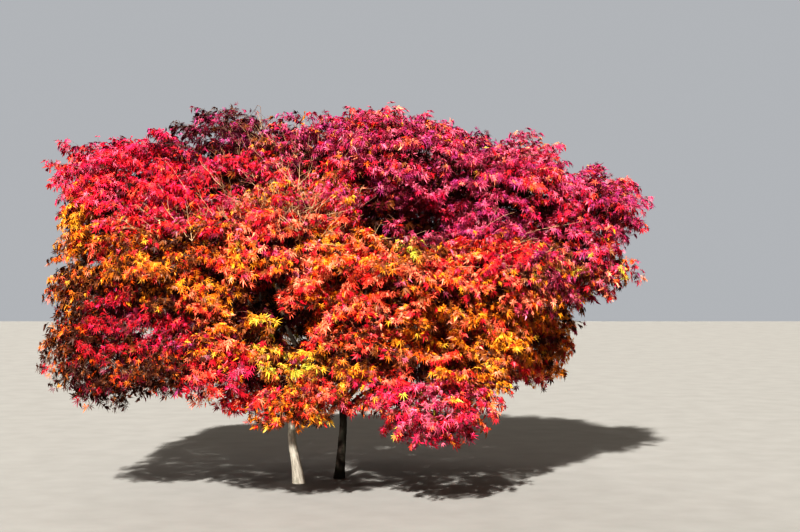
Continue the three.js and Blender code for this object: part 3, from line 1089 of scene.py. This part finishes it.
def leaf_piece(name, rows, material, template):
    """Many leaves as one mesh: each with its own curl, lobe lengths and stalk."""
    stalk, base, axis, face, size = rows[:, 0:3], rows[:, 3:6], rows[:, 6:9], rows[:, 9:12], rows[:, 12]
    corners, faces = template
    count = len(rows)
    across = unit(np.cross(axis, face))
    normal = np.cross(across, axis)
    curl = random.uniform(*LEAF_CURL, count)
    stretch = 1 + LOBE_VARIES * random.standard_normal((count, len(corners)))
    x = corners[:, 0] * stretch
    y = corners[:, 1] * stretch
    lifted = LOBE_LIFT * random.standard_normal((count, len(corners)))
    lifted[:, 0] = 0
    z = corners[:, 2] * curl[:, None] + lifted
    places = base[:, None] + size[:, None, None] * (
        x[..., None] * across[:, None] + y[..., None] * axis[:, None] + z[..., None] * normal[:, None]
    )
    wide = across * PETIOLE_HALF_WIDTH
    places = np.concatenate([places, (stalk - wide)[:, None], (stalk + wide)[:, None]], axis=1)
    faces = np.vstack([faces, (0, len(corners), len(corners) + 1)])
    index = faces[None] + (np.arange(count) * (len(corners) + 2))[:, None, None]
    return mesh_object(name, places.reshape(-1, 3), index.reshape(-1, 3), material)


TINTS = {
    # maroon_dark and umber are near-black tints that paint shade on leaves.
    "maroon_dark": (0.055, 0.006, 0.016),
    "maroon": (0.185, 0.016, 0.042),
    "plum": (0.400, 0.048, 0.190),
    "magenta": (0.480, 0.045, 0.145),
    # rose and salmon are partly leaf colour and partly painted highlights, the pale pink glints on sunlit
    # leaves.
    "rose": (0.720, 0.165, 0.260),
    "cerise": (0.760, 0.030, 0.125),
    "crimson_deep": (0.440, 0.014, 0.030),
    "crimson": (0.740, 0.030, 0.062),
    "scarlet": (0.840, 0.055, 0.036),
    "coral": (0.900, 0.180, 0.100),
    "salmon": (0.920, 0.340, 0.200),
    "vermilion": (0.860, 0.170, 0.020),
    "orange": (0.860, 0.290, 0.026),
    "amber": (0.840, 0.380, 0.032),
    "gold": (0.800, 0.520, 0.065),
    "green_gold": (0.520, 0.520, 0.075),
    "bronze": (0.240, 0.080, 0.022),
    "umber": (0.060, 0.018, 0.010),
}
TINT_NUMBERS = {name: i for i, name in enumerate(TINTS)}

# Drifts of tint: the place (x, z) of each, its reach and the shares of the tints in it.
DRIFTS = {
    "burgundy_top": ((1.20, 2.86), (0.75, 0.34), dict(
        magenta=6, plum=4.5, rose=6, maroon=1.2, crimson=2, coral=2.5, salmon=2.5, bronze=1.5, scarlet=1,
        amber=1.2, gold=0.6)),
    "magenta_top": ((0.08, 2.86), (0.50, 0.28), dict(
        magenta=5.5, cerise=2, rose=4, coral=2.2, salmon=1.6, crimson=1.5, maroon=3, bronze=2, amber=0.8,
        orange=0.8, plum=3)),
    # Near-black maroons here paint the shade on this shaded tip.
    "shade_painted_tip": ((-0.66, 3.00), (0.56, 0.22), dict(
        maroon_dark=6, maroon=4, plum=2, magenta=1.5, umber=2, bronze=1)),
    "crimson_left": ((-1.25, 2.60), (0.75, 0.34), dict(
        cerise=7, crimson=5, crimson_deep=1.5, magenta=3, scarlet=2, coral=1.5, rose=1.5, plum=0.6)),
    "flushed_middle": ((-0.05, 2.38), (0.75, 0.30), dict(
        cerise=4, crimson=2, scarlet=2, coral=3, salmon=2, vermilion=1.5, rose=4, amber=1.6, orange=1.5,
        bronze=3.5, gold=0.8, magenta=3, umber=0.8)),
    # Rose tints here paint the lilac-pink sheen of sunlit leaves.
    "rose_painted_sheen": ((1.40, 2.36), (0.45, 0.26), dict(rose=6, magenta=5, plum=2, maroon=1.5, cerise=2)),
    "crimson_right": ((2.40, 2.28), (0.50, 0.28), dict(
        cerise=4.5, crimson=2, magenta=4.5, rose=4, plum=4, maroon=0.8, scarlet=2, coral=2.5, salmon=1.2,
        amber=0.5)),
    "dusky_right": ((2.20, 1.84), (0.40, 0.22), dict(
        rose=3, magenta=2.5, cerise=2, bronze=4, plum=1, maroon=1.5, green_gold=1.2, salmon=2, coral=1,
        amber=0.8)),
    "coral_shoulder": ((1.95, 2.68), (0.22, 0.20), dict(
        rose=5, coral=3, cerise=2.5, salmon=1.5, crimson=1.5, magenta=2)),
    "tan_middle": ((0.20, 2.20), (0.26, 0.20), dict(
        bronze=4, salmon=3, coral=3, amber=2, orange=2, gold=1, rose=1, scarlet=1)),
    "tan_hollow": ((0.94, 2.00), (0.36, 0.13), dict(
        bronze=5, rose=1.5, salmon=2.4, amber=1.5, maroon=1.2, green_gold=2, orange=1, umber=1.5)),
    "crimson_band": ((1.66, 1.95), (0.30, 0.14), dict(cerise=5, crimson=5, scarlet=3, coral=1.5, rose=1)),
    "coral_right": ((1.40, 1.88), (0.50, 0.22), dict(
        coral=6, crimson=0.8, scarlet=1.5, vermilion=2.5, salmon=4.5, orange=5, amber=4, rose=1.5,
        umber=0.6)),
    "coral_middle": ((0.20, 1.84), (0.65, 0.26), dict(
        coral=6, salmon=5, scarlet=1.6, vermilion=3, orange=4.5, crimson=0.8, amber=3.2, gold=0.4, rose=1.2,
        cerise=0.8, umber=0.6)),
    "coral_left": ((-1.00, 1.92), (0.50, 0.28), dict(
        coral=2.5, vermilion=3, scarlet=2.5, orange=3.5, crimson=1, amber=3, gold=0.8, bronze=4, umber=3)),
    "bronze_left": ((-1.80, 2.00), (0.32, 0.42), dict(
        vermilion=2.5, orange=4, bronze=5.5, crimson_deep=1, amber=3.4, gold=0.8, coral=2, salmon=1,
        umber=3.5)),
    "amber_left": ((-0.30, 1.46), (0.40, 0.22), dict(
        orange=4, amber=3.5, coral=4, salmon=2.5, vermilion=2, gold=1.5, bronze=2, umber=1)),
    "gold": ((-0.04, 1.11), (0.26, 0.21), dict(
        gold=9, amber=4, green_gold=6, orange=1.2, salmon=1.5, coral=0.6, umber=0.4, rose=0.6)),
    "scarlet_skirt": ((0.52, 1.12), (0.30, 0.24), dict(
        coral=4, scarlet=2, salmon=2, crimson=1.2, orange=2.6, amber=2.2, umber=2.5, bronze=2, crimson_deep=1,
        cerise=2, rose=1.2)),
    "orange_right": ((1.40, 1.42), (0.50, 0.24), dict(
        orange=5.5, coral=3.5, vermilion=2, scarlet=0.7, amber=4.2, salmon=3.5, gold=1, bronze=2.5,
        umber=1.4)),
    "olive_left": ((-0.16, 1.45), (0.20, 0.13), dict(
        amber=4, gold=4, green_gold=3, orange=2, bronze=3, umber=3, coral=1)),
    # This drift and the next two paint in dark tints the shade that other trees cast on the crown's lower
    # left; the deep crimson is partly the leaves' own colour.
    "crimson_patch": ((-1.12, 1.42), (0.46, 0.17), dict(
        crimson_deep=8, cerise=1, crimson=2, maroon=2.5, umber=2.5, bronze=0.6)),
    "shade_painted_skirt": ((-1.35, 1.00), (0.60, 0.24), dict(
        umber=8, bronze=1, crimson_deep=2.6, maroon=4, maroon_dark=2, vermilion=0.4, orange=0.4,
        crimson=0.2)),
    "shade_painted_side": ((-1.85, 1.35), (0.26, 0.40), dict(
        umber=7, bronze=3, crimson_deep=3, maroon=2, orange=0.7, vermilion=0.8)),
    "pink_edge": ((-0.43, 1.02), (0.40, 0.21), dict(
        cerise=5, crimson=3, scarlet=3.5, coral=4.5, salmon=1.5, rose=1.5, orange=1, amber=0.6, umber=0.4)),
    "low_orange": ((0.10, 0.74), (0.28, 0.12), dict(
        orange=3, coral=3, salmon=2, amber=2, scarlet=2, gold=0.8, umber=2, bronze=1)),
    "pink_skirt": ((1.08, 0.76), (0.45, 0.22), dict(
        cerise=4, crimson=2, scarlet=1, rose=4, magenta=1.5, coral=2.5, salmon=1, crimson_deep=1, maroon=1,
        umber=3, green_gold=1, amber=1)),
}
DRIFT_WAVER = 0.16  # how far the drifts' edges wander
DRIFT_FADE = 1.6  # how fast a drift fades beyond its reach
CLUMP_NOISE = (2.3, 6.1, 0.7)
CLUMP_SCATTER = 0.55


def tint_numbers(*names):
    return np.array([TINT_NUMBERS[name] for name in names])


# The tints from the darkest reds to gold, each beside the ones it is mixed with in a spray.
TINT_ORDER = tint_numbers(
    "maroon_dark", "maroon", "plum", "magenta", "rose", "cerise", "crimson_deep", "crimson", "scarlet",
    "coral", "salmon", "vermilion", "umber", "bronze", "orange", "amber", "gold", "green_gold")
MAIN_TINTS = 2.5  # the power that keeps a mix's small shares to single leaves
OWN_TINT = 0.34  # leaves of a spray in its own tint
NEXT_TINT = 0.22  # leaves in a tint beside it, the rest are drawn from the drifts' mix
# Near-black tints of the inner leaves: painted shade inside the crown.
SHADED_TINTS = tint_numbers("maroon_dark", "umber", "umber", "umber", "maroon", "bronze")

# The darker tint of the leaves below a spray's others, a painted shade, for each tint of its own.
PAINTED_SHADE_TINTS = dict(
    maroon_dark="maroon_dark", maroon="maroon_dark", plum="maroon", magenta="maroon", rose="maroon",
    cerise="crimson_deep", crimson_deep="maroon", crimson="maroon", scarlet="crimson_deep",
    coral="crimson_deep", salmon="crimson_deep", vermilion="bronze", orange="bronze", amber="bronze",
    gold="bronze", green_gold="bronze", bronze="umber", umber="umber")
PAINTED_SHADE = tint_numbers(*(PAINTED_SHADE_TINTS[name] for name in TINTS))


def deal_tints(places):
    """A tint for each spray, drawn from the drifts round it, and the mix it was drawn from."""
    mixes = np.zeros((len(places), len(TINTS)))
    waver = np.array([
        (noise.noise(Vector(p) * 1.7), noise.noise(Vector(p) * 1.7 + Vector((9, 4, 2)))) for p in places
    ])
    flat = places[:, (0, 2)] + waver * DRIFT_WAVER
    for centre, reach, shares in DRIFTS.values():
        far = np.linalg.norm((flat - centre) / reach, axis=1)
        weight = np.exp(-DRIFT_FADE * far**2) + 1e-5 * np.exp(-far)
        total = sum(shares.values())
        for tint, share in shares.items():
            mixes[:, TINT_NUMBERS[tint]] += weight * share / total
    mixes /= mixes.sum(axis=1, keepdims=True)
    # Nearby sprays draw from nearby shares of the mix, so each tint gathers in clumps.
    clump = drifting_noise(places, *CLUMP_NOISE)
    clump += CLUMP_SCATTER * random.standard_normal(len(places))
    draw = (np.argsort(np.argsort(clump)) + 0.5) / len(clump)
    ranked = np.cumsum(mixes[:, TINT_ORDER] ** MAIN_TINTS, axis=1)
    ranked /= ranked[:, -1:]
    return TINT_ORDER[(ranked < draw[:, None]).sum(axis=1)], mixes


def leaf_tints(own, mix, count):
    """A tint for each leaf of a spray: mostly its own, some beside it, a few strays."""
    spot = TINT_ORDER.tolist().index(own)
    draw = random.random(count)
    beside = np.clip(spot + random.choice((-1, 1), count), 0, len(TINT_ORDER) - 1)
    tint = np.where(draw < OWN_TINT + NEXT_TINT, TINT_ORDER[beside], random.choice(len(mix), count, p=mix))
    return np.where(draw < OWN_TINT, own, tint)


def leaf_spots(shoots):
    """Where leaves grow in pairs along shoots, the shoot's way there, and on which hand each is.

    A shoot is its line and the share of it that is bare at its foot."""
    spots, ways, hands = [], [], []
    for shoot, begin in shoots:
        span = np.linalg.norm(np.diff(shoot, axis=0), axis=1).sum()
        count = max(2, int(span * (1 - begin) / LEAF_STEP) + 1)
        at = np.linspace(begin, 1, count) * (len(shoot) - 1)
        low = np.minimum(at.astype(int), len(shoot) - 2)
        part = (at - low)[:, None]
        spots += [shoot[low] * (1 - part) + shoot[low + 1] * part] * 2
        ways += [unit(shoot[low + 1] - shoot[low])] * 2
        hands += [np.full(count, -1.0), np.full(count, 1.0)]
    return np.vstack(spots), np.vstack(ways), np.concatenate(hands)[:, None]


def grow_spray(wood, leaves, below_leaves, base, heading, length, out, own, mix, fullness):
    """A bowed twig with side shoots in its plane, leaves in pairs that hang, and ones below in darker tints
    of painted shade.
    """
    side = unit(np.cross(heading, UP) + SPRAY_ROLL * random.standard_normal(3))
    lift = unit(np.cross(side, heading))
    end = base + heading * length - lift * length * SPRAY_BOW
    line = bowed(base, heading, end, unit(heading - lift * SPRAY_END_FALLS), 5, 0.015)
    wood.tube(line, np.linspace(TWIG_RADIUS, TWIG_RADIUS * 0.45, 5), 3)
    shoots = [(line, BARE_FOOT)]
    for k in (1, 2, 3):
        reach = length * (SIDE_SHOOT_REACH - SIDE_SHOOT_SHORTER * k) * random.uniform(*SIDE_SHOOT_VARIES)
        for hand in (-1, 1):
            turned = heading + hand * side * random.uniform(*SIDE_SHOOT_TURN)
            away = unit(turned + SIDE_SHOOT_SCATTER * random.standard_normal(3))
            shoot = np.vstack([line[k], line[k] + away * reach - lift * reach * SIDE_SHOOT_BOW])
            wood.tube(shoot, SIDE_SHOOT_TAPER * TWIG_RADIUS, 3)
            shoots.append((shoot, SIDE_SHOOT_BARE_FOOT))
    spots, ways, hands = leaf_spots(shoots)
    below = random.random(len(spots)) < BELOW_SHARE
    kept = random.random(len(spots)) < fullness
    for kind, chosen, leaf_length, depth in (
        (leaves, ~below & kept, LEAF_LENGTH, 0),
        (below_leaves, below & kept, BELOW_LEAF_LENGTH, BELOW_DEPTH),
    ):
        tints = leaf_tints(own, mix, chosen.sum())
        # The leaves below take darker tints: painted shade.
        if depth:
            tints = PAINTED_SHADE[tints]
        hang_leaves(
            kind, spots[chosen], ways[chosen], hands[chosen], heading, lift, out, leaf_length, tints, depth)


def hang_leaves(leaves, spot, way, hand, heading, lift, out, length, tints, depth):
    """Leaves at the spots along shoots. depth is how far the lowest hang in behind the others."""
    count = len(spot)
    scatter = random.standard_normal((count, 3))
    sideways = unit(np.cross(way, lift)) * hand
    stalk = unit(way * STALK_AHEAD + sideways * STALK_SIDEWAYS + lift * STALK_UP + STALK_SCATTER * scatter)
    base = spot + stalk * PETIOLE * random.uniform(*PETIOLE_VARIES, (count, 1))
    base -= (BELOW_INWARD * out + BELOW_DOWN * lift) * depth * random.uniform(*BELOW_DEPTHS, (count, 1))
    droop = random.uniform(*LEAF_DROOP, (count, 1))
    axis = stalk * LEAF_ALONG_STALK + heading * LEAF_ALONG_SPRAY - UP * droop
    axis = unit(axis + LEAF_SCATTER * random.standard_normal((count, 3)))
    face = FACE_LIFT * lift + FACE_OUT * out + FACE_UP * UP
    face = unit(face + FACE_SCATTER * random.standard_normal((count, 3)))
    size = length * random.uniform(*SPRAY_SIZES) * random.uniform(*LEAF_SIZES, count)
    leaves.add(spot, base, axis, face, size, tints)


def grow_inner_spray(wood, leaves, base, heading, length, out, own, mix):
    """A bare-ended twig in the shade, with larger plain leaves round it, in near-black tints that paint the
    shade.
    """
    end = base + heading * length - UP * length * 0.15
    line = bowed(base, heading, end, unit(heading - UP * 0.4), 4, 0.02)
    wood.tube(line, np.linspace(TWIG_RADIUS, TWIG_RADIUS * 0.5, 4), 3)
    at = random.uniform(0.5, 2.999, INNER_LEAVES)
    low = at.astype(int)
    spot = line[low] + (at - low)[:, None] * (line[low + 1] - line[low])
    way = unit(line[low + 1] - line[low])
    hand = random.choice((-1.0, 1.0), (INNER_LEAVES, 1))
    sideways = unit(np.cross(way, UP)) * hand * random.uniform(0, INNER_SPREAD, (INNER_LEAVES, 1))
    tints = random.choice(len(mix), INNER_LEAVES, p=mix)
    hang_leaves(leaves, spot + sideways, way, hand, heading, UP, out, INNER_LEAF_LENGTH, tints, 0)


# Bare fans of shoots that show in front of the leaves: root and tips as (x, z).
BARE_FANS = (
    ((0.11, 2.11), ((-0.15, 2.36), (0.01, 2.37), (-0.03, 2.45), (-0.21, 2.47), (0.16, 2.26), (0.08, 2.40),
                    (-0.09, 2.31))),
    ((0.04, 2.46), ((-0.15, 2.71), (-0.04, 2.64), (0.06, 2.68), (0.14, 2.60))),
    ((-0.22, 2.44), ((-0.47, 2.31), (-0.42, 2.62), (-0.33, 2.60))),
    ((0.71, 2.10), ((1.05, 2.23), (0.98, 2.16), (0.86, 2.25), (1.10, 2.10))),
    ((-0.72, 2.05), ((-0.95, 2.30), (-0.80, 2.34), (-0.62, 2.30))),
)

# Where thin tan shoots stand out of the leaves: centre and reach as (x, z), the point they
# all lead away from, and how many a spray carries on average.
SHOOT_ZONES = (
    ((-0.06, 2.44), (0.64, 0.36), (0.05, 1.85), 2.2),
    ((0.42, 2.14), (0.60, 0.15), (-0.60, 1.90), 1.5),
    ((-0.75, 2.18), (0.40, 0.22), (-0.45, 1.80), 0.8),
    ((1.45, 1.98), (0.60, 0.20), (0.60, 1.90), 0.6),
)
SHOOT_LENGTH = (0.24, 0.55)
SHOOT_SHORTEST = 0.08
SHOOT_SHORTENED = 0.8  # by each try at keeping a shoot near the crown's skin
SHOOT_RADIUS = 0.0028
SHOOT_STANDS_OUT = 0.13
FACES_FRONT = -0.2  # the skin faces the front where its outward y is below this
FAN_RADIUS = 0.0036
FAN_SIDE_SHOOT = (0.06, 0.14)
FAN_SET_BACK = -0.04
FAN_STANDS_OUT = 0.13


def grow_fans(wood, tree, limbs):
    """Thin pale shoots that fan out just in front of the crown's skin."""

    def on_skin(x, z, back):
        hit = tree.ray_cast(Vector((x, -6, z)), Vector((0, 1, 0)))[0]
        return np.array([x, hit.y + back, z])

    for root, tips in BARE_FANS:
        start = on_skin(*root, FAN_SET_BACK)
        line = min(limbs.values(), key=lambda r: np.linalg.norm(r[:, :3] - start, axis=1).min())
        foot = line[np.linalg.norm(line[:, :3] - start, axis=1).argmin(), :3]
        stem = bowed(foot, unit(start - foot), start, unit(start - foot + UP * 0.3), 12, 0.01)
        wood.tube(stem, np.linspace(FAN_RADIUS * 1.6, FAN_RADIUS, 12), 6)
        for tip in tips:
            end = on_skin(*tip, -FAN_STANDS_OUT)
            leave = unit(unit(end - start) + [0, -0.4, 0] + 0.2 * random.standard_normal(3))
            line = bowed(start, leave, end, unit(end - start + UP * 0.1), 7, 0.015)
            wood.tube(line, np.linspace(FAN_RADIUS, TWIG_RADIUS * 0.6, 7), 5)
            for k in (3, 4, 5):
                away = unit(unit(end - start) + 0.8 * random.standard_normal(3))
                shoot = np.vstack([line[k], line[k] + away * random.uniform(*FAN_SIDE_SHOOT)])
                wood.tube(shoot, np.array([0.8, 0.4]) * TWIG_RADIUS, 3)


def grow_shoots(wood, tree, bases, outward, directions):
    """Thin bare shoots that start at sprays of certain zones and stand out in front of the leaves."""
    for base, out, heading in zip(bases, outward, directions):
        for centre, reach, root, mean_count in SHOOT_ZONES:
            near = np.linalg.norm((base[[0, 2]] - centre) / np.array(reach)) < 1
            if not near or out[1] > FACES_FRONT:
                continue
            for _ in range(int(mean_count + random.random())):
                grow_shoot(wood, tree, base, out, heading, root)


def grow_shoot(wood, tree, base, out, heading, root):
    """One bare shoot with a fork, shortened until it stays near the crown's skin."""
    away = unit(np.array([base[0] - root[0], 0, base[2] - root[1]]))
    away = unit(away + 0.55 * out + 0.32 * random.standard_normal(3))
    length = random.uniform(*SHOOT_LENGTH)
    start = base + out * 0.02
    while length > SHOOT_SHORTEST and tree.find_nearest(Vector(start + away * length))[3] > SHOOT_STANDS_OUT:
        length *= SHOOT_SHORTENED
    arrive = unit(away + 0.35 * random.standard_normal(3))
    line = bowed(start, unit(away + 0.7 * heading), start + away * length, arrive, 5, 0.025)
    wood.tube(line, np.linspace(SHOOT_RADIUS, SHOOT_RADIUS * 0.4, 5), 4)
    side = unit(away + 0.6 * random.standard_normal(3))
    fork = np.vstack([line[2], line[2] + side * length * 0.4])
    wood.tube(fork, SIDE_SHOOT_TAPER * SHOOT_RADIUS, 3)


def grow_branches(wood, limbs, masses, places, bases, directions):
    """Branches from the boughs' tips to every spray. Each mass hangs on the bough that ends nearest."""
    names, centres, halves = masses
    boughs = [n for n in limbs if n.startswith("bough")]
    tips = np.array([limbs[n][-1, :3] for n in boughs])
    home = np.argmin(np.linalg.norm((places[:, None] - centres[None]) / halves[None], axis=2), axis=1)
    carried = {}
    for k in range(len(names)):
        nearest = boughs[np.linalg.norm(tips - centres[k], axis=1).argmin()]
        carried.setdefault(nearest, []).append(np.nonzero(home == k)[0])
    for bough, groups in carried.items():
        mine = np.concatenate(groups)
        line = limbs[bough]
        heading = unit(line[-1, :3] - line[-6, :3])
        grow(wood, line[-1, :3], heading, mine, bases, directions, line[-1, 3] * 0.95, len(mine))


def grow_crown(limbs, masses):
    """Sprays over the crown, the branches that carry them from the boughs, and bare shoots."""
    triangles = crown_skin(masses[0])
    outer, outer_out = outer_places(triangles)
    tree = skin_tree(triangles)
    inner, inner_out = inner_places(triangles, tree)
    places = np.vstack([outer, inner])
    outward = np.vstack([outer_out, inner_out])
    directions = spray_directions(places, outward)
    lengths = random.uniform(*SPRAY_LENGTH, len(places))
    bases = places - directions * lengths[:, None] * SPRAY_PLACE
    tints, mixes = deal_tints(places)
    fullness = leaf_fullness(places)
    # The inner sprays take near-black tints: painted shade.
    tints[len(outer):] = random.choice(SHADED_TINTS, len(inner))
    shaded_mix = np.bincount(SHADED_TINTS, minlength=len(TINTS)) / len(SHADED_TINTS)
    branches, twigs, shoots = Wood(), Wood(), Wood()
    grow_fans(shoots, tree, limbs)
    grow_shoots(shoots, tree, bases[:len(outer)], outer_out, directions)
    grow_branches(branches, limbs, masses, places, bases, directions)
    leaves = Leaves("leaves", leaf_template())
    inner_leaves = Leaves("inner_leaves", inner_leaf_template())
    for i in range(len(places)):
        shape = (bases[i], directions[i], lengths[i], outward[i], tints[i])
        if i < len(outer):
            grow_spray(twigs, leaves, inner_leaves, *shape, mixes[i], fullness[i])
        else:
            grow_inner_spray(twigs, inner_leaves, *shape, shaded_mix)
    return branches, twigs, shoots, leaves, inner_leaves


# The tree

place_camera()
place_lights()
place_floor()
place_backdrop()
bpy.context.scene.view_settings.view_transform = "Standard"
bpy.context.scene.view_settings.look = "High Contrast"

limbs, parents = read_limbs()

pale_bark = bark_material(
    "pale_bark", (0.13, 0.105, 0.085), (0.56, 0.51, 0.42), (0.76, 0.72, 0.64), (0.36, 0.35, 0.28),
    ((0.26, 0.22, 0.17), (0.62, 0.58, 0.49)))
# The dark stem's near-black tones are painted shade, since it stands in the crown's shade; its paler grey
# upper tone is painted sunlight on its limb.
shade_and_sun_painted_bark = bark_material(
    "shade_and_sun_painted_bark", (0.010, 0.007, 0.005), (0.026, 0.018, 0.014), (0.058, 0.044, 0.034), (0.040, 0.040, 0.028),
    ((0.20, 0.17, 0.13), (0.60, 0.56, 0.47)))
for stem, name, material, slot in (
    ("stem_pale", "pale_stem_bark", pale_bark, "bark_pale"),
    ("stem_dark", "dark_stem_bark", shade_and_sun_painted_bark, "bark_dark"),
):
    members = [n for n in limbs if n == stem or parents[n] == stem]
    bark = model_bark(name, members, limbs, material)
    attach(bark, "root")
    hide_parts(*members)
    outer = [n for n in limbs if rooted_in(n, parents) == stem and n not in members]
    boughs = Wood()
    for n in outer:
        knobbly = [1 + BOUGH_KNOB * noise.noise(Vector(row[:3]) * BOUGH_KNOB_FINENESS) for row in limbs[n]]
        boughs.tube(limbs[n], limbs[n][:, 3] * knobbly, BOUGH_SIDES)
    piece = boughs.made(name.replace("stem_bark", "boughs"), material)
    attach(piece, "root")
    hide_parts(*outer)

masses = read_masses()
branches, twigs, shoots, leaves, inner_leaves = grow_crown(limbs, masses)
twig_bark = twig_material("twig_bark", (0.10, 0.045, 0.030), (0.34, 0.19, 0.12))
tan_bark = twig_material("tan_twig_bark", (0.34, 0.20, 0.11), (0.58, 0.40, 0.24))
for wood, name, material, slot in (
    (branches, "branches", twig_bark, "bark_dark"),
    (twigs, "twigs", twig_bark, "bark_dark"),
    (shoots, "bare_shoots", tan_bark, "bark_pale"),
):
    piece = wood.made(name, material)
    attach(piece, "root")
pieces = leaves.made() + inner_leaves.made()
for piece in pieces:
    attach(piece, "root")
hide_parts(*masses[0])
